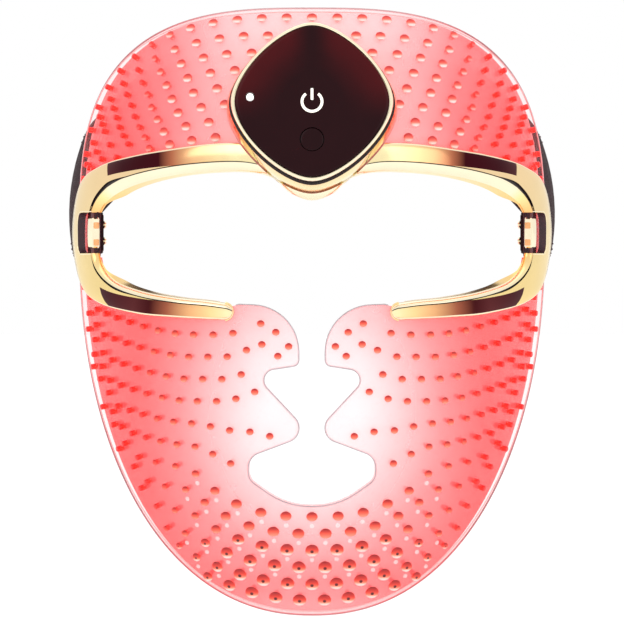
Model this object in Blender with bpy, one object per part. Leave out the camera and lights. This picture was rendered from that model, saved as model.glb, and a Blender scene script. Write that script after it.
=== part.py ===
"""LED light-therapy face mask, as the separate pieces that it is assembled from.

The mask is worn on the face: a flexible silicone sheet with an LED film inside it, a rigid
gilt frame round the eye window, a control unit on the forehead, and a strap round the head.
+Z is up, the mask faces -Y, and +X is to the right as seen from the front. The origin is on
the centre line, at eye height, inside the mask where the head is. Sizes are in millimetres
and become metres where a mesh is made. The mask's right side, "right" in the names, is +X.
"""

import math

import bmesh
import bpy
from mathutils import Vector

MM = 0.001

# The mask's outline, seen from the front.
HALF_WIDTH = 83.0
TOP_HEIGHT = 79.2
CHIN_DEPTH = 135.1
UPPER_SQUARENESS = 3.0
LOWER_SQUARENESS = 2.2

# The bowl that every sheet and frame follows.
FRONT_Y = -45.0
BOWL_DEPTH = 76.0
BOWL_HALF_WIDTH = 85.0
BOWL_RISE = 107.0
BOWL_FALL = 165.0
BOWL_ROUNDNESS = 2.3
BOWL_FALL_OFF = 2.8

# Distances of the layers from the outer face, along its normal.
SKIN = (0.0, -1.2)
FILM = (-1.5, -1.8)
LINER = (-2.1, -3.3)
SHEET_RINGS = 7
FILM_RINGS = 6
SHEET_SPOKES = 44

# The edge of the nose and mouth opening on the right: x, z, corner radius.
NOSE_AND_MOUTH = (
    (25.5, -25.4, 0.0),
    (4.7, -26.2, 16.5),
    (4.7, -46.7, 2.2),
    (21.1, -49.2, 4.0),
    (0.9, -70.8, 5.0),
    (22.5, -78.9, 5.5),
    (22.5, -87.0, 5.0),
    (9.0, -96.5, 26.0),
)

# The gilt frame on the right, from the centre line to the tip of the lower band: the edge at
# the eye window and the outer edge of the band, each as x, z.
FRAME_EDGES = (
    ((0.0, 11.2), (0.0, 25.0)),
    ((7.5, 13.7), (10.0, 27.5)),
    ((14.0, 19.2), (19.5, 30.4)),
    ((22.5, 21.2), (27.0, 31.2)),
    ((34.0, 21.2), (36.5, 30.8)),
    ((48.0, 19.8), (48.5, 29.2)),
    ((60.4, 16.9), (61.5, 27.0)),
    ((68.8, 13.0), (73.0, 23.6)),
    ((73.8, 7.8), (80.4, 17.0)),
    ((75.3, 0.0), (83.0, 0.0)),
    ((74.0, -10.0), (80.3, -17.2)),
    ((68.6, -16.8), (74.0, -24.6)),
    ((59.0, -20.6), (60.5, -28.6)),
    ((47.0, -22.8), (47.5, -29.9)),
    ((37.0, -23.8), (37.0, -30.5)),
    ((30.5, -24.7), (30.5, -30.8)),
)
FRAME_SPAN = len(FRAME_EDGES) - 1
STATIONS_PER_SPAN = 2
TIP_LENGTH = 3.1
SHEET_EDGE = 1.8
TEMPLE_SHEET_EDGE = 6.0
UPPER_LIP = 3.4
TEMPLE_LIP = 1.4
LOWER_LIP = 1.6
FLANGE_DEPTH = -3.6
FLANGE_STOP = 0.3
TEMPLE_PLACES = (7.25, 10.75)
UPPER_STRIP_END = 6.5
LOWER_STRIP_START = 11.5
STRIP_EDGES = (0.2, 2.4)
STRIP_EDGE_PLACES = (4.0, 6.0)

# The strap's notch in each temple of the frame, and the wider one in the sheets.
NOTCH_HALF_HEIGHT = 7.2
NOTCH_REAR = 1.0
NOTCH_CORNER = 3.5
SHEET_NOTCH_HALF_HEIGHT = 8.7
SHEET_NOTCH_REAR = 2.5

# The clip on the right: a point of the bowl, and its directions back along it and outwards.
CLIP_FOOT = Vector((76.5, -7.4, 0.0))
CLIP_BACK = Vector((0.438, 0.899, 0.0))
CLIP_OUT = Vector((0.899, -0.438, 0.0))
CLIP_HALF_HEIGHT = 5.4
CLIP_REACH = 4.1
PIN_BACK = -1.4
PIN_OUT = 1.75
PIN_RADIUS = 0.6
PIN_HALF_LENGTH = 9.0
PIN_HOLE_RADIUS = 0.9
RIVET_BACK = 1.6
RIVET_HEIGHT = 2.9

# The strap: plan points of the tab on the right and of the band's right half, as x, y.
TAB_ROUTE = ((74.5, -7.6), (75.1, -5.6), (75.6, -2.0), (75.5, 6.0), (75.4, 12.0), (75.4, 17.8))
TAB_HALF_HEIGHT = 6.7
TAB_THICKNESS = 1.6
BAND_ROUTE = (
    (75.5, 18.4),
    (78.4, 26.0),
    (82.8, 38.0),
    (86.3, 54.0),
    (85.8, 72.0),
    (79.6, 92.0),
    (64.5, 111.0),
    (39.0, 124.0),
    (0.0, 129.0),
)
BAND_THICKNESS = 1.8
BAND_GROWTH = 12.5
BAND_RISE = 0.34
BAND_LIFT = 9.0
BAND_BELLY = -7.0
BAND_CURL = 0.0076

# The control unit. Its own axes are u, right, v, up along the forehead, and w, outwards.
UNIT_CENTRE = Vector((0.0, -41.9, 43.3))
UNIT_TILT = math.radians(12.1)
UNIT_RADIUS = 30.0
UNIT_SQUARENESS = 1.5
UNIT_CORNER = 0.02
RIM_POINTS = 40
FRAME_CUT_RADIUS = 30.4
FLANGE_CUT_RADIUS = 28.4
STRIP_CUT_RADIUS = 28.6
SKIN_HOLE_RADIUS = 22.0
FILM_HOLE_RADIUS = 24.0
SCREW_OFFSET = 9.2
BUTTON_V = -13.8
LIGHT_U, LIGHT_V = -21.7, 1.5


# ---- The bowl ------------------------------------------------------------------------------


def bowl_y(x, z):
    """The y of the mask's outer face at a place seen from the front."""
    rise = BOWL_RISE if z > 0 else BOWL_FALL
    across = (abs(x) / BOWL_HALF_WIDTH) ** BOWL_ROUNDNESS
    along = (abs(z) / rise) ** BOWL_ROUNDNESS
    reach = min((across + along) ** (1 / BOWL_ROUNDNESS), 0.999)
    return FRONT_Y + BOWL_DEPTH * (1 - math.sqrt(1 - reach**BOWL_FALL_OFF))


def on_bowl(x, z, height=0.0):
    """The point at a height above the mask's outer face."""
    step = 0.05
    slope_x = (bowl_y(x + step, z) - bowl_y(x - step, z)) / (2 * step)
    slope_z = (bowl_y(x, z + step) - bowl_y(x, z - step)) / (2 * step)
    normal = Vector((slope_x, -1.0, slope_z)).normalized()
    return Vector((x, bowl_y(x, z), z)) + normal * height


def outline_point(angle):
    """The mask's outline at an angle round the origin, seen from the front."""
    cosine = math.cos(angle)
    sine = math.sin(angle)
    height, power = (TOP_HEIGHT, UPPER_SQUARENESS) if sine > 0 else (CHIN_DEPTH, LOWER_SQUARENESS)
    reach = (abs(cosine) / HALF_WIDTH) ** power + (abs(sine) / height) ** power
    radius = reach ** (-1 / power)
    return radius * cosine, radius * sine


# ---- Curves --------------------------------------------------------------------------------


def smooth_step(value):
    value = min(max(value, 0.0), 1.0)
    return value * value * (3 - 2 * value)


def smooth_curve(points, place):
    """A Catmull-Rom curve through the points; place runs from 0 to the last point's number."""
    number = min(int(place), len(points) - 2)
    share = place - number
    before = points[max(number - 1, 0)]
    start = points[number]
    end = points[number + 1]
    after = points[min(number + 2, len(points) - 1)]
    found = []
    for a, b, c, d in zip(before, start, end, after):
        slope = c - a
        bend = 2 * a - 5 * b + 4 * c - d
        twist = 3 * b - a - 3 * c + d
        found.append(b + 0.5 * share * (slope + share * (bend + share * twist)))
    return tuple(found)


def curve_points(points, per_span):
    steps = (len(points) - 1) * per_span
    return [smooth_curve(points, step / per_span) for step in range(steps + 1)]


def rounded_corner(before, corner, after, radius, step=math.radians(30)):
    """The points of the arc that rounds a corner, or the corner itself."""
    if radius == 0:
        return [tuple(corner)]
    back = (before - corner).normalized()
    ahead = (after - corner).normalized()
    half = back.angle(ahead) / 2
    centre = corner + (back + ahead).normalized() * (radius / math.sin(half))
    start = corner + back * (radius / math.tan(half)) - centre
    turn = start.angle_signed(corner + ahead * (radius / math.tan(half)) - centre)
    count = max(2, round(abs(turn) / step))
    arc = []
    for number in range(count + 1):
        spin = -turn * number / count
        x = centre.x + start.x * math.cos(spin) - start.y * math.sin(spin)
        y = centre.y + start.x * math.sin(spin) + start.y * math.cos(spin)
        arc.append((x, y))
    return arc


def rounded_outline(corners):
    """A closed outline whose corners, given as x, y, radius, are rounded."""
    outline = []
    for number, (x, y, radius) in enumerate(corners):
        before = Vector(corners[number - 1][:2])
        after = Vector(corners[(number + 1) % len(corners)][:2])
        outline += rounded_corner(before, Vector((x, y)), after, radius)
    return outline


def circle(radius, count=RIM_POINTS, centre=(0.0, 0.0)):
    turns = [2 * math.pi * number / count for number in range(count)]
    return [(centre[0] + radius * math.cos(t), centre[1] + radius * math.sin(t)) for t in turns]


def diamond(radius):
    """The control unit's outline: a square on its corner with soft sides and corners."""
    half_power = UNIT_SQUARENESS / 2
    on_axis = (1 + UNIT_CORNER) ** half_power + UNIT_CORNER**half_power
    outline = []
    for u, v in circle(1.0):
        reach = (u * u + UNIT_CORNER) ** half_power + (v * v + UNIT_CORNER) ** half_power
        scale = radius * (on_axis / reach) ** (1 / UNIT_SQUARENESS)
        outline.append((u * scale, v * scale))
    return outline


def rectangle(low_u, high_u, low_v, high_v):
    return [(low_u, low_v), (high_u, low_v), (high_u, high_v), (low_u, high_v)]


# ---- Meshes --------------------------------------------------------------------------------


def finish(name, colour, roughness, metallic=0.0, alpha=1.0):
    material = bpy.data.materials.new(name)
    material.use_nodes = True
    shader = material.node_tree.nodes["Principled BSDF"]
    shader.inputs["Base Color"].default_value = (*colour, 1.0)
    shader.inputs["Roughness"].default_value = roughness
    shader.inputs["Metallic"].default_value = metallic
    shader.inputs["Alpha"].default_value = alpha
    return material


def make_object(name, points, faces, material=None, parent=None, mirrored=False):
    """A closed solid from points in millimetres, in its parent's axes."""
    mesh_maker = bmesh.new()
    flip = -1.0 if mirrored else 1.0
    verts = [mesh_maker.verts.new((flip * x * MM, y * MM, z * MM)) for x, y, z in points]
    for face in faces:
        mesh_maker.faces.new([verts[number] for number in face])
    bmesh.ops.triangulate(mesh_maker, faces=mesh_maker.faces[:])
    bmesh.ops.recalc_face_normals(mesh_maker, faces=mesh_maker.faces[:])
    mesh = bpy.data.meshes.new(name)
    mesh_maker.to_mesh(mesh)
    mesh_maker.free()
    mesh.shade_smooth()
    mesh.set_sharp_from_angle(angle=math.radians(35))
    obj = bpy.data.objects.new(name, mesh)
    bpy.context.scene.collection.objects.link(obj)
    obj.parent = parent
    if material:
        mesh.materials.append(material)
    else:
        obj.hide_render = True
        obj.display_type = "WIRE"
    return obj


def skinned(rings, closed=False):
    """Points and faces of a solid with the rings as its sections; a one-point ring is a tip."""
    points = []
    starts = []
    for ring in rings:
        starts.append(len(points))
        points += [tuple(point) for point in ring]
    faces = []
    pairs = list(zip(range(len(rings)), range(1, len(rings))))
    if closed:
        pairs.append((len(rings) - 1, 0))
    for first, second in pairs:
        count = max(len(rings[first]), len(rings[second]))
        for number in range(count):
            after = (number + 1) % count
            corners = [starts[first] + number, starts[first] + after]
            corners += [starts[second] + after, starts[second] + number]
            if len(rings[first]) == 1:
                corners = [starts[first], corners[2], corners[3]]
            if len(rings[second]) == 1:
                corners = [corners[0], corners[1], starts[second]]
            faces.append(corners)
    if not closed:
        for start, ring in ((starts[0], rings[0]), (starts[-1], rings[-1])):
            if len(ring) > 2:
                faces.append([start + number for number in range(len(ring))])
    return points, faces


def prism(name, outline, low, high, material=None, parent=None, axis="z", mirrored=False):
    """A solid of one outline, from low to high along an axis of its parent."""
    where = "xyz".index(axis)
    rings = []
    for end in (low, high):
        rings.append([(*place[:where], end, *place[where:]) for place in outline])
    return make_object(name, *skinned(rings), material, parent, mirrored)


def turned(name, rows, material, parent, closed=False):
    """A solid turned round w. Each row is an outline and its w, a number or a function of u, v."""
    rings = []
    for outline, level in rows:
        if not outline:
            rings.append([(0.0, 0.0, level)])
        elif callable(level):
            rings.append([(u, v, level(u, v)) for u, v in outline])
        else:
            rings.append([(u, v, level) for u, v in outline])
    return make_object(name, *skinned(rings, closed), material, parent)


def stepped_pin(name, steps, place, material, parent, count=12):
    """A round pin along w: steps are radius, w pairs from its low end to its high end."""
    rings = []
    for radius, level in steps:
        rings.append([(u, v, level) for u, v in circle(radius, count, place)])
    return make_object(name, *skinned(rings), material, parent)


def cut(target, *cutters):
    for cutter in cutters:
        modifier = target.modifiers.new(cutter.name, "BOOLEAN")
        modifier.operation = "DIFFERENCE"
        modifier.solver = "EXACT"
        modifier.object = cutter


def join(target, *others):
    for other in others:
        modifier = target.modifiers.new(other.name, "BOOLEAN")
        modifier.operation = "UNION"
        modifier.solver = "EXACT"
        modifier.object = other


def make_empty(name, location, tilt=0.0):
    empty = bpy.data.objects.new(name, None)
    bpy.context.scene.collection.objects.link(empty)
    empty.location = Vector(location) * MM
    empty.rotation_euler.x = tilt
    return empty


# ---- The sheets ----------------------------------------------------------------------------


def between(first, last, share):
    """A place between two places seen from the front, even along the side of the bowl."""
    lean = [math.asin(point[0] / BOWL_HALF_WIDTH) for point in (first, last)]
    x = BOWL_HALF_WIDTH * math.sin(lean[0] + (lean[1] - lean[0]) * share)
    return x, first[1] + (last[1] - first[1]) * share


class Crossing:
    """The line over the bowl from the window edge of the frame to its outer edge."""

    STEPS = 8

    def __init__(self, window, outer):
        self.places = [between(window, outer, n / self.STEPS) for n in range(self.STEPS + 1)]
        on_face = [on_bowl(*place) for place in self.places]
        self.travel = [0.0]
        for start, end in zip(on_face, on_face[1:]):
            self.travel.append(self.travel[-1] + (end - start).length)
        self.width = self.travel[-1]

    def place(self, distance):
        for number in range(self.STEPS):
            if distance <= self.travel[number + 1] or number == self.STEPS - 1:
                span = self.travel[number + 1] - self.travel[number]
                share = (distance - self.travel[number]) / span
                return between(self.places[number], self.places[number + 1], share)

    def point(self, distance, height):
        return on_bowl(*self.place(distance), height)


def frame_crossing(place):
    """The frame's crossing at a place from -FRAME_SPAN, the left tip, to FRAME_SPAN."""
    half = [(*window, *outer) for window, outer in FRAME_EDGES]
    whole = [(-a, b, -c, d) for a, b, c, d in reversed(half[1:])] + half
    a, b, c, d = smooth_curve(whole, place + FRAME_SPAN)
    return Crossing((a, b), (c, d))


def tip_crossings():
    """The crossings that round the right tip of the lower band, from the band outwards."""
    (x, top), (_, bottom) = FRAME_EDGES[-1]
    middle = (top + bottom) / 2
    found = []
    for angle in (30, 55, 75):
        reach = x - TIP_LENGTH * math.sin(math.radians(angle))
        half = (top - bottom) / 2 * math.cos(math.radians(angle))
        found.append(Crossing((reach, middle + half), (reach, middle - half)))
    return found


def opening_outline():
    """The one opening in the sheets: the eye window with the nose and mouth below it."""
    over_eyes = []
    for place in range(-FRAME_SPAN, FRAME_SPAN + 1):
        at_temple = TEMPLE_PLACES[0] < abs(place) < TEMPLE_PLACES[1]
        edge = TEMPLE_SHEET_EDGE if at_temple else SHEET_EDGE
        over_eyes.append(frame_crossing(place).place(edge))
    corners = [(*over_eyes[-1], 0.0), *NOSE_AND_MOUTH]
    corners += [(-x, z, radius) for x, z, radius in reversed(NOSE_AND_MOUTH)]
    corners.append((*over_eyes[0], 0.0))
    return over_eyes[1:-1] + rounded_outline(corners)


def make_sheet(name, heights, rings, material):
    """A closed sheet between two heights, out to one of the rings of points round the origin."""
    layers = []
    for height in heights:
        layer = [[on_bowl(0.0, 0.0, height)]]
        for ring in range(1, rings + 1):
            reach = math.sin(math.pi / 2 * ring / SHEET_RINGS)
            turns = [2 * math.pi * (n + 0.5) / SHEET_SPOKES for n in range(SHEET_SPOKES)]
            places = [outline_point(turn) for turn in turns]
            layer.append([on_bowl(x * reach, z * reach, height) for x, z in places])
        layers.append(layer)
    return make_object(name, *skinned(layers[0] + layers[1][::-1]), material)


def make_sheets(unit):
    silicone = finish("clear_pink_silicone", (0.95, 0.42, 0.42), 0.3, alpha=0.6)
    film = finish("led_film_print", (0.9, 0.55, 0.55), 0.4, alpha=0.8)
    opening = prism("cutter_opening", opening_outline(), -90.0, 60.0, axis="y")
    sides = []
    for side, mirrored in (("left", True), ("right", False)):
        block = rectangle(-25.0, SHEET_NOTCH_REAR, -SHEET_NOTCH_HALF_HEIGHT, SHEET_NOTCH_HALF_HEIGHT)
        name = f"cutter_sheet_notch_{side}"
        sides.append(prism(name, block, 60.0, 100.0, axis="x", mirrored=mirrored))
    hole = prism("cutter_skin_hole", diamond(SKIN_HOLE_RADIUS), -20.0, 20.0, parent=unit)
    film_hole = prism("cutter_film_hole", diamond(FILM_HOLE_RADIUS), -20.0, 20.0, parent=unit)
    cut(make_sheet("outer_skin", SKIN, SHEET_RINGS, silicone), opening, *sides, hole)
    cut(make_sheet("led_film", FILM, FILM_RINGS, film), opening, *sides, film_hole)
    cut(make_sheet("inner_liner", LINER, SHEET_RINGS, silicone), opening, *sides, hole)


# ---- The gilt frame ------------------------------------------------------------------------


def lip_width(place):
    """The width of the raised lip: wide over the eyes, narrow along the lower bands."""
    place = abs(place)
    if place < 9:
        return UPPER_LIP + (TEMPLE_LIP - UPPER_LIP) * max(0.0, place - 7) / 2
    return TEMPLE_LIP + (LOWER_LIP - TEMPLE_LIP) * min(1.0, (place - 9) / 3)


def flange_depth(place):
    """The depth of the flange through the sheets, which leaves out the temples and the tips."""
    beside_temple = abs(place) < TEMPLE_PLACES[0] or abs(place) > TEMPLE_PLACES[1]
    through = beside_temple and abs(place) < FRAME_SPAN - 0.5
    return FLANGE_DEPTH if through else FLANGE_STOP


def front_section(crossing, lip, depth):
    """The frame's section: a flange through the sheets, a lip, and a band over the skin."""
    width = crossing.width
    flange = min(1.1, 0.25 * width)
    lip = min(lip, 0.3 * width)
    edge = min(0.8, 0.15 * width)
    corners = (
        (0.0, depth),
        (flange, depth),
        (flange, 0.5),
        (0.5 * width, 0.5),
        (width, 0.5),
        (width, 1.6),
        (width - edge, 2.4),
        (0.5 * (lip + width), 2.8),
        (lip, 3.2),
        (0.0, 0.8),
    )
    return [crossing.point(distance, height) for distance, height in corners]


def back_section(place):
    """A clamping strip's section, which draws back from the eye window towards the temples."""
    crossing = frame_crossing(place)
    first, last = STRIP_EDGE_PLACES
    drawn_back = smooth_step((abs(place) - first) / (last - first))
    start = STRIP_EDGES[0] + (STRIP_EDGES[1] - STRIP_EDGES[0]) * drawn_back
    end = crossing.width - 1.0
    corners = ((start, -4.1), (end, -4.1), (end, -5.6), (start, -5.6))
    return [crossing.point(distance, height) for distance, height in corners]


def make_strip(name, first, last, material, mirrored=False):
    """A clamping strip behind the sheets, between two places along the frame."""
    count = round((last - first) * 2)
    places = [first + (last - first) * number / count for number in range(count + 1)]
    sections = [back_section(place) for place in places]
    return make_object(name, *skinned(sections), material, mirrored=mirrored)


def make_frame(unit):
    gilt = finish("gilt_plating", (0.83, 0.62, 0.36), 0.12, metallic=1.0)
    strip_plastic = finish("clamp_strip_plastic", (0.75, 0.62, 0.5), 0.4)
    steps = FRAME_SPAN * STATIONS_PER_SPAN
    sections = []
    for number in range(-steps, steps + 1):
        place = number / STATIONS_PER_SPAN
        section = front_section(frame_crossing(place), lip_width(place), flange_depth(place))
        sections.append(section)
    tip_depth = flange_depth(FRAME_SPAN)
    tips = [front_section(crossing, LOWER_LIP, tip_depth) for crossing in tip_crossings()]
    left_tips = [[Vector((-p.x, p.y, p.z)) for p in section] for section in reversed(tips)]
    front = make_object("frame_front", *skinned(left_tips + sections + tips), gilt)
    rows = (
        (None, -30.0),
        (diamond(FLANGE_CUT_RADIUS), -30.0),
        (diamond(FLANGE_CUT_RADIUS), skirt(0.15)),
        (diamond(FRAME_CUT_RADIUS), skirt(0.15)),
        (diamond(FRAME_CUT_RADIUS), 30.0),
        (None, 30.0),
    )
    unit_hole = turned("cutter_frame_unit", rows, None, unit)
    cut(front, unit_hole)
    notch = [(-60.0, -NOTCH_HALF_HEIGHT, 0.0), (NOTCH_REAR, -NOTCH_HALF_HEIGHT, NOTCH_CORNER)]
    notch += [(NOTCH_REAR, NOTCH_HALF_HEIGHT, NOTCH_CORNER), (-60.0, NOTCH_HALF_HEIGHT, 0.0)]
    pin = CLIP_FOOT + CLIP_BACK * PIN_BACK + CLIP_OUT * PIN_OUT
    bore = circle(PIN_HOLE_RADIUS, 10, (pin.x, pin.y))
    for side, mirrored in (("left", True), ("right", False)):
        name = f"cutter_frame_notch_{side}"
        notch_block = prism(name, rounded_outline(notch), 60.0, 100.0, axis="x", mirrored=mirrored)
        reach = PIN_HALF_LENGTH + 0.3
        pin_hole = prism(f"cutter_pin_hole_{side}", bore, -reach, reach, mirrored=mirrored)
        cut(front, notch_block, pin_hole)
        lower = f"frame_back_lower_{side}"
        make_strip(lower, LOWER_STRIP_START, FRAME_SPAN, strip_plastic, mirrored=mirrored)
    upper = make_strip("frame_back_upper", -UPPER_STRIP_END, UPPER_STRIP_END, strip_plastic)
    plate_hole = prism("cutter_strip_unit", diamond(STRIP_CUT_RADIUS), -30.0, 30.0, parent=unit)
    cut(upper, plate_hole)


# ---- The control unit ----------------------------------------------------------------------


def unit_w(u, v, offset=0.0):
    """The w of the mask's outer face, plus an offset, at a place on the control unit."""
    sine = math.sin(UNIT_TILT)
    cosine = math.cos(UNIT_TILT)
    w = 0.0
    for _ in range(12):
        z = UNIT_CENTRE.z + v * cosine + w * sine
        w = (UNIT_CENTRE.y + v * sine - bowl_y(u, z)) / cosine
    return w + offset


def skirt(offset):
    """A level that follows the mask's outer face."""
    return lambda u, v: unit_w(u, v, offset)


def make_casing(unit):
    gilt = finish("gilt_casing", (0.83, 0.62, 0.36), 0.15, metallic=1.0)
    plate = finish("back_plate_plastic", (0.82, 0.76, 0.7), 0.45)
    rows = (
        (None, 0.8),
        (diamond(24.5), 0.8),
        (diamond(28.4), skirt(0.5)),
        (diamond(UNIT_RADIUS), skirt(0.5)),
        (diamond(29.6), 4.0),
        (diamond(28.6), 8.65),
        (diamond(27.2), 8.65),
        (diamond(26.8), 2.4),
        (None, 2.4),
    )
    housing = turned("control_housing", rows, gilt, unit)
    tail_slot = prism("cutter_tail_slot", rectangle(-3.0, 3.0, -20.0, -18.4), 0.0, 3.0, parent=unit)
    socket_hole = prism("cutter_socket", rectangle(-4.8, 4.8, 24.0, 33.0), 2.95, 6.65, parent=unit)
    cut(housing, tail_slot, socket_hole)
    rows = (
        (None, -8.4),
        (diamond(26.8), -8.4),
        (diamond(28.0), -7.6),
        (diamond(28.0), skirt(-3.8)),
        (diamond(16.5), skirt(-3.8)),
        (circle(14.5), skirt(-3.8)),
        (circle(14.5), 0.3),
        (circle(11.5), 0.3),
        (circle(11.5), -6.4),
        (None, -6.4),
    )
    back_plate = turned("back_plate", rows, plate, unit)
    steel = finish("screw_steel", (0.7, 0.7, 0.72), 0.3, metallic=1.0)
    number = 0
    for v in (SCREW_OFFSET, -SCREW_OFFSET):
        for u in (-SCREW_OFFSET, SCREW_OFFSET):
            number += 1
            hole = prism(f"cutter_screw_{number}", circle(1.1, 12, (u, v)), -12.0, 5.0, parent=unit)
            name = f"cutter_screw_head_{number}"
            recess = prism(name, circle(2.0, 12, (u, v)), -12.0, -6.9, parent=unit)
            cut(housing, hole)
            cut(back_plate, hole, recess)
            steps = ((1.7, -8.2), (1.7, -7.0), (0.8, -7.0), (0.8, 2.2))
            stepped_pin(f"back_plate_screw_{number}", steps, (u, v), steel, unit)


def make_face(unit):
    gilt = finish("gilt_bezel", (0.85, 0.66, 0.42), 0.12, metallic=1.0)
    rubber = finish("seal_rubber", (0.03, 0.02, 0.02), 0.7)
    glass = finish("panel_glass", (0.03, 0.006, 0.008), 0.05)
    light = finish("light_diffuser", (0.95, 0.93, 0.9), 0.4)
    turned(
        "seal_ring",
        (
            (diamond(26.6), 8.95),
            (diamond(27.9), 8.95),
            (diamond(27.9), 9.3),
            (diamond(26.6), 9.3),
        ),
        rubber,
        unit,
        closed=True,
    )
    rows = (
        (diamond(28.3), 9.6),
        (diamond(28.3), 11.2),
        (diamond(27.9), 12.0),
        (diamond(27.35), 12.0),
        (diamond(27.35), 10.1),
        (diamond(25.5), 10.1),
        (diamond(25.5), 9.6),
    )
    turned("bezel_ring", rows, gilt, unit, closed=True)
    rows = (
        (None, 10.4),
        (diamond(26.6), 10.4),
        (diamond(27.0), 10.8),
        (diamond(27.0), 11.7),
        (diamond(26.4), 12.1),
        (diamond(18.0), 12.35),
        (None, 12.45),
    )
    panel = turned("front_panel", rows, glass, unit)
    button_hole = prism("cutter_button", circle(4.3, 20, (0.0, BUTTON_V)), 5.0, 15.0, parent=unit)
    light_hole = prism("cutter_light", circle(1.6, 12, (LIGHT_U, LIGHT_V)), 5.0, 15.0, parent=unit)
    cut(panel, button_hole, light_hole)
    steps = ((1.3, 9.2), (1.3, 12.0), (1.15, 12.15))
    stepped_pin("status_light_pipe", steps, (LIGHT_U, LIGHT_V), light, unit)
    prism("icon_diffuser", rectangle(-6.0, 6.0, -6.0, 6.0), 8.9, 9.9, light, unit)
    button_axis = make_empty("button_axis", (0.0, BUTTON_V, 0.0))
    button_axis.parent = unit
    steps = ((5.0, 9.3), (5.0, 10.1), (4.0, 10.1), (4.0, 12.0), (3.75, 12.2))
    stepped_pin("power_button", steps, (0.0, 0.0), glass, button_axis, count=20)


def make_electronics(unit):
    board = finish("board_laminate", (0.02, 0.16, 0.07), 0.4)
    black = finish("component_black", (0.02, 0.02, 0.02), 0.5)
    steel = finish("component_steel", (0.62, 0.62, 0.64), 0.35, metallic=1.0)
    foil = finish("battery_foil", (0.72, 0.72, 0.75), 0.45, metallic=0.6)
    foam = finish("adhesive_foam", (0.08, 0.08, 0.08), 0.9)
    light = finish("led_lens", (0.95, 0.95, 0.8), 0.3)
    polyimide = finish("flat_cable", (0.55, 0.27, 0.06), 0.35)
    prism("main_board", diamond(24.5), 6.9, 7.9, board, unit)
    switch = rectangle(-2.6, 2.6, BUTTON_V - 2.6, BUTTON_V + 2.6)
    prism("tactile_switch", switch, 8.2, 8.7, black, unit)
    led = rectangle(LIGHT_U - 1.2, LIGHT_U + 1.2, LIGHT_V - 1.0, LIGHT_V + 1.0)
    prism("status_led", led, 8.2, 8.9, light, unit)
    prism("driver_chip", rectangle(8.0, 13.0, 1.5, 6.5), 8.2, 9.1, black, unit)
    prism("battery", rectangle(-15.0, 15.0, -10.0, 10.0), 3.3, 6.5, foil, unit)
    prism("battery_pad", rectangle(-14.0, 14.0, -9.0, 9.0), 2.7, 3.0, foam, unit)
    socket = prism("charging_socket", rectangle(-4.5, 4.5, 20.5, 28.2), 3.2, 6.4, steel, unit)
    cavity = prism("cutter_socket_cavity", rectangle(-4.15, 4.15, 21.5, 30.0), 3.55, 6.05, parent=unit)
    cut(socket, cavity)
    tongue = prism("socket_tongue", rectangle(-3.3, 3.3, 20.8, 27.6), 4.45, 5.15, parent=unit)
    join(socket, tongue)
    prism("film_connector", rectangle(-3.5, 3.5, -17.8, -14.6), 5.3, 6.6, black, unit)
    route = ((-23.2, -3.77), (-20.8, -3.55), (-19.3, -2.0), (-19.3, 5.2), (-18.1, 5.95))
    sections = []
    for (v, w), (back_v, back_w) in zip(*ribbon_sides(route, 0.35)):
        sections.append([(-2.5, v, w), (2.5, v, w), (2.5, back_v, back_w), (-2.5, back_v, back_w)])
    make_object("film_tail", *skinned(sections), polyimide, unit)


def ribbon_sides(route, thickness):
    """The two sides of a ribbon of an even thickness along a plan route."""
    left = []
    right = []
    for number, place in enumerate(route):
        before = Vector(route[max(number - 1, 0)])
        after = Vector(route[min(number + 1, len(route) - 1)])
        here = Vector(place)
        ways = [way.normalized() for way in (here - before, after - here) if way.length > 0]
        ahead = sum(ways, Vector((0.0, 0.0))).normalized()
        normal = Vector((-ahead.y, ahead.x))
        reach = thickness / 2 / max(ahead.dot(ways[0]), 0.5)
        left.append(tuple(here + normal * reach))
        right.append(tuple(here - normal * reach))
    return left, right


# ---- The strap -----------------------------------------------------------------------------


def clip_place(back, out, z):
    """A place on the right clip: back along the bowl, out from it, and up."""
    return CLIP_FOOT + CLIP_BACK * back + CLIP_OUT * out + Vector((0.0, 0.0, z))


def clip_outline(inset):
    """The clip's D: a straight front edge and a round back, as back, z pairs."""
    half = CLIP_HALF_HEIGHT - inset
    arc = [math.pi / 2 - math.pi * number / 14 for number in range(15)]
    outline = [(-4.0 + inset, -half), (-4.0 + inset, half)]
    return outline + [(-0.6 + (CLIP_REACH - inset) * math.cos(a), half * math.sin(a)) for a in arc]


def placed_prism(name, outline, levels, material, pivot, mirrored, parent):
    """A stack of outlines in the clip's axes, as a solid in its hinge's axes."""
    rings = []
    for inset_outline, out in zip(outline, levels):
        rings.append([clip_place(back, out, z) - pivot for back, z in inset_outline])
    return make_object(name, *skinned(rings), material, parent, mirrored)


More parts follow.
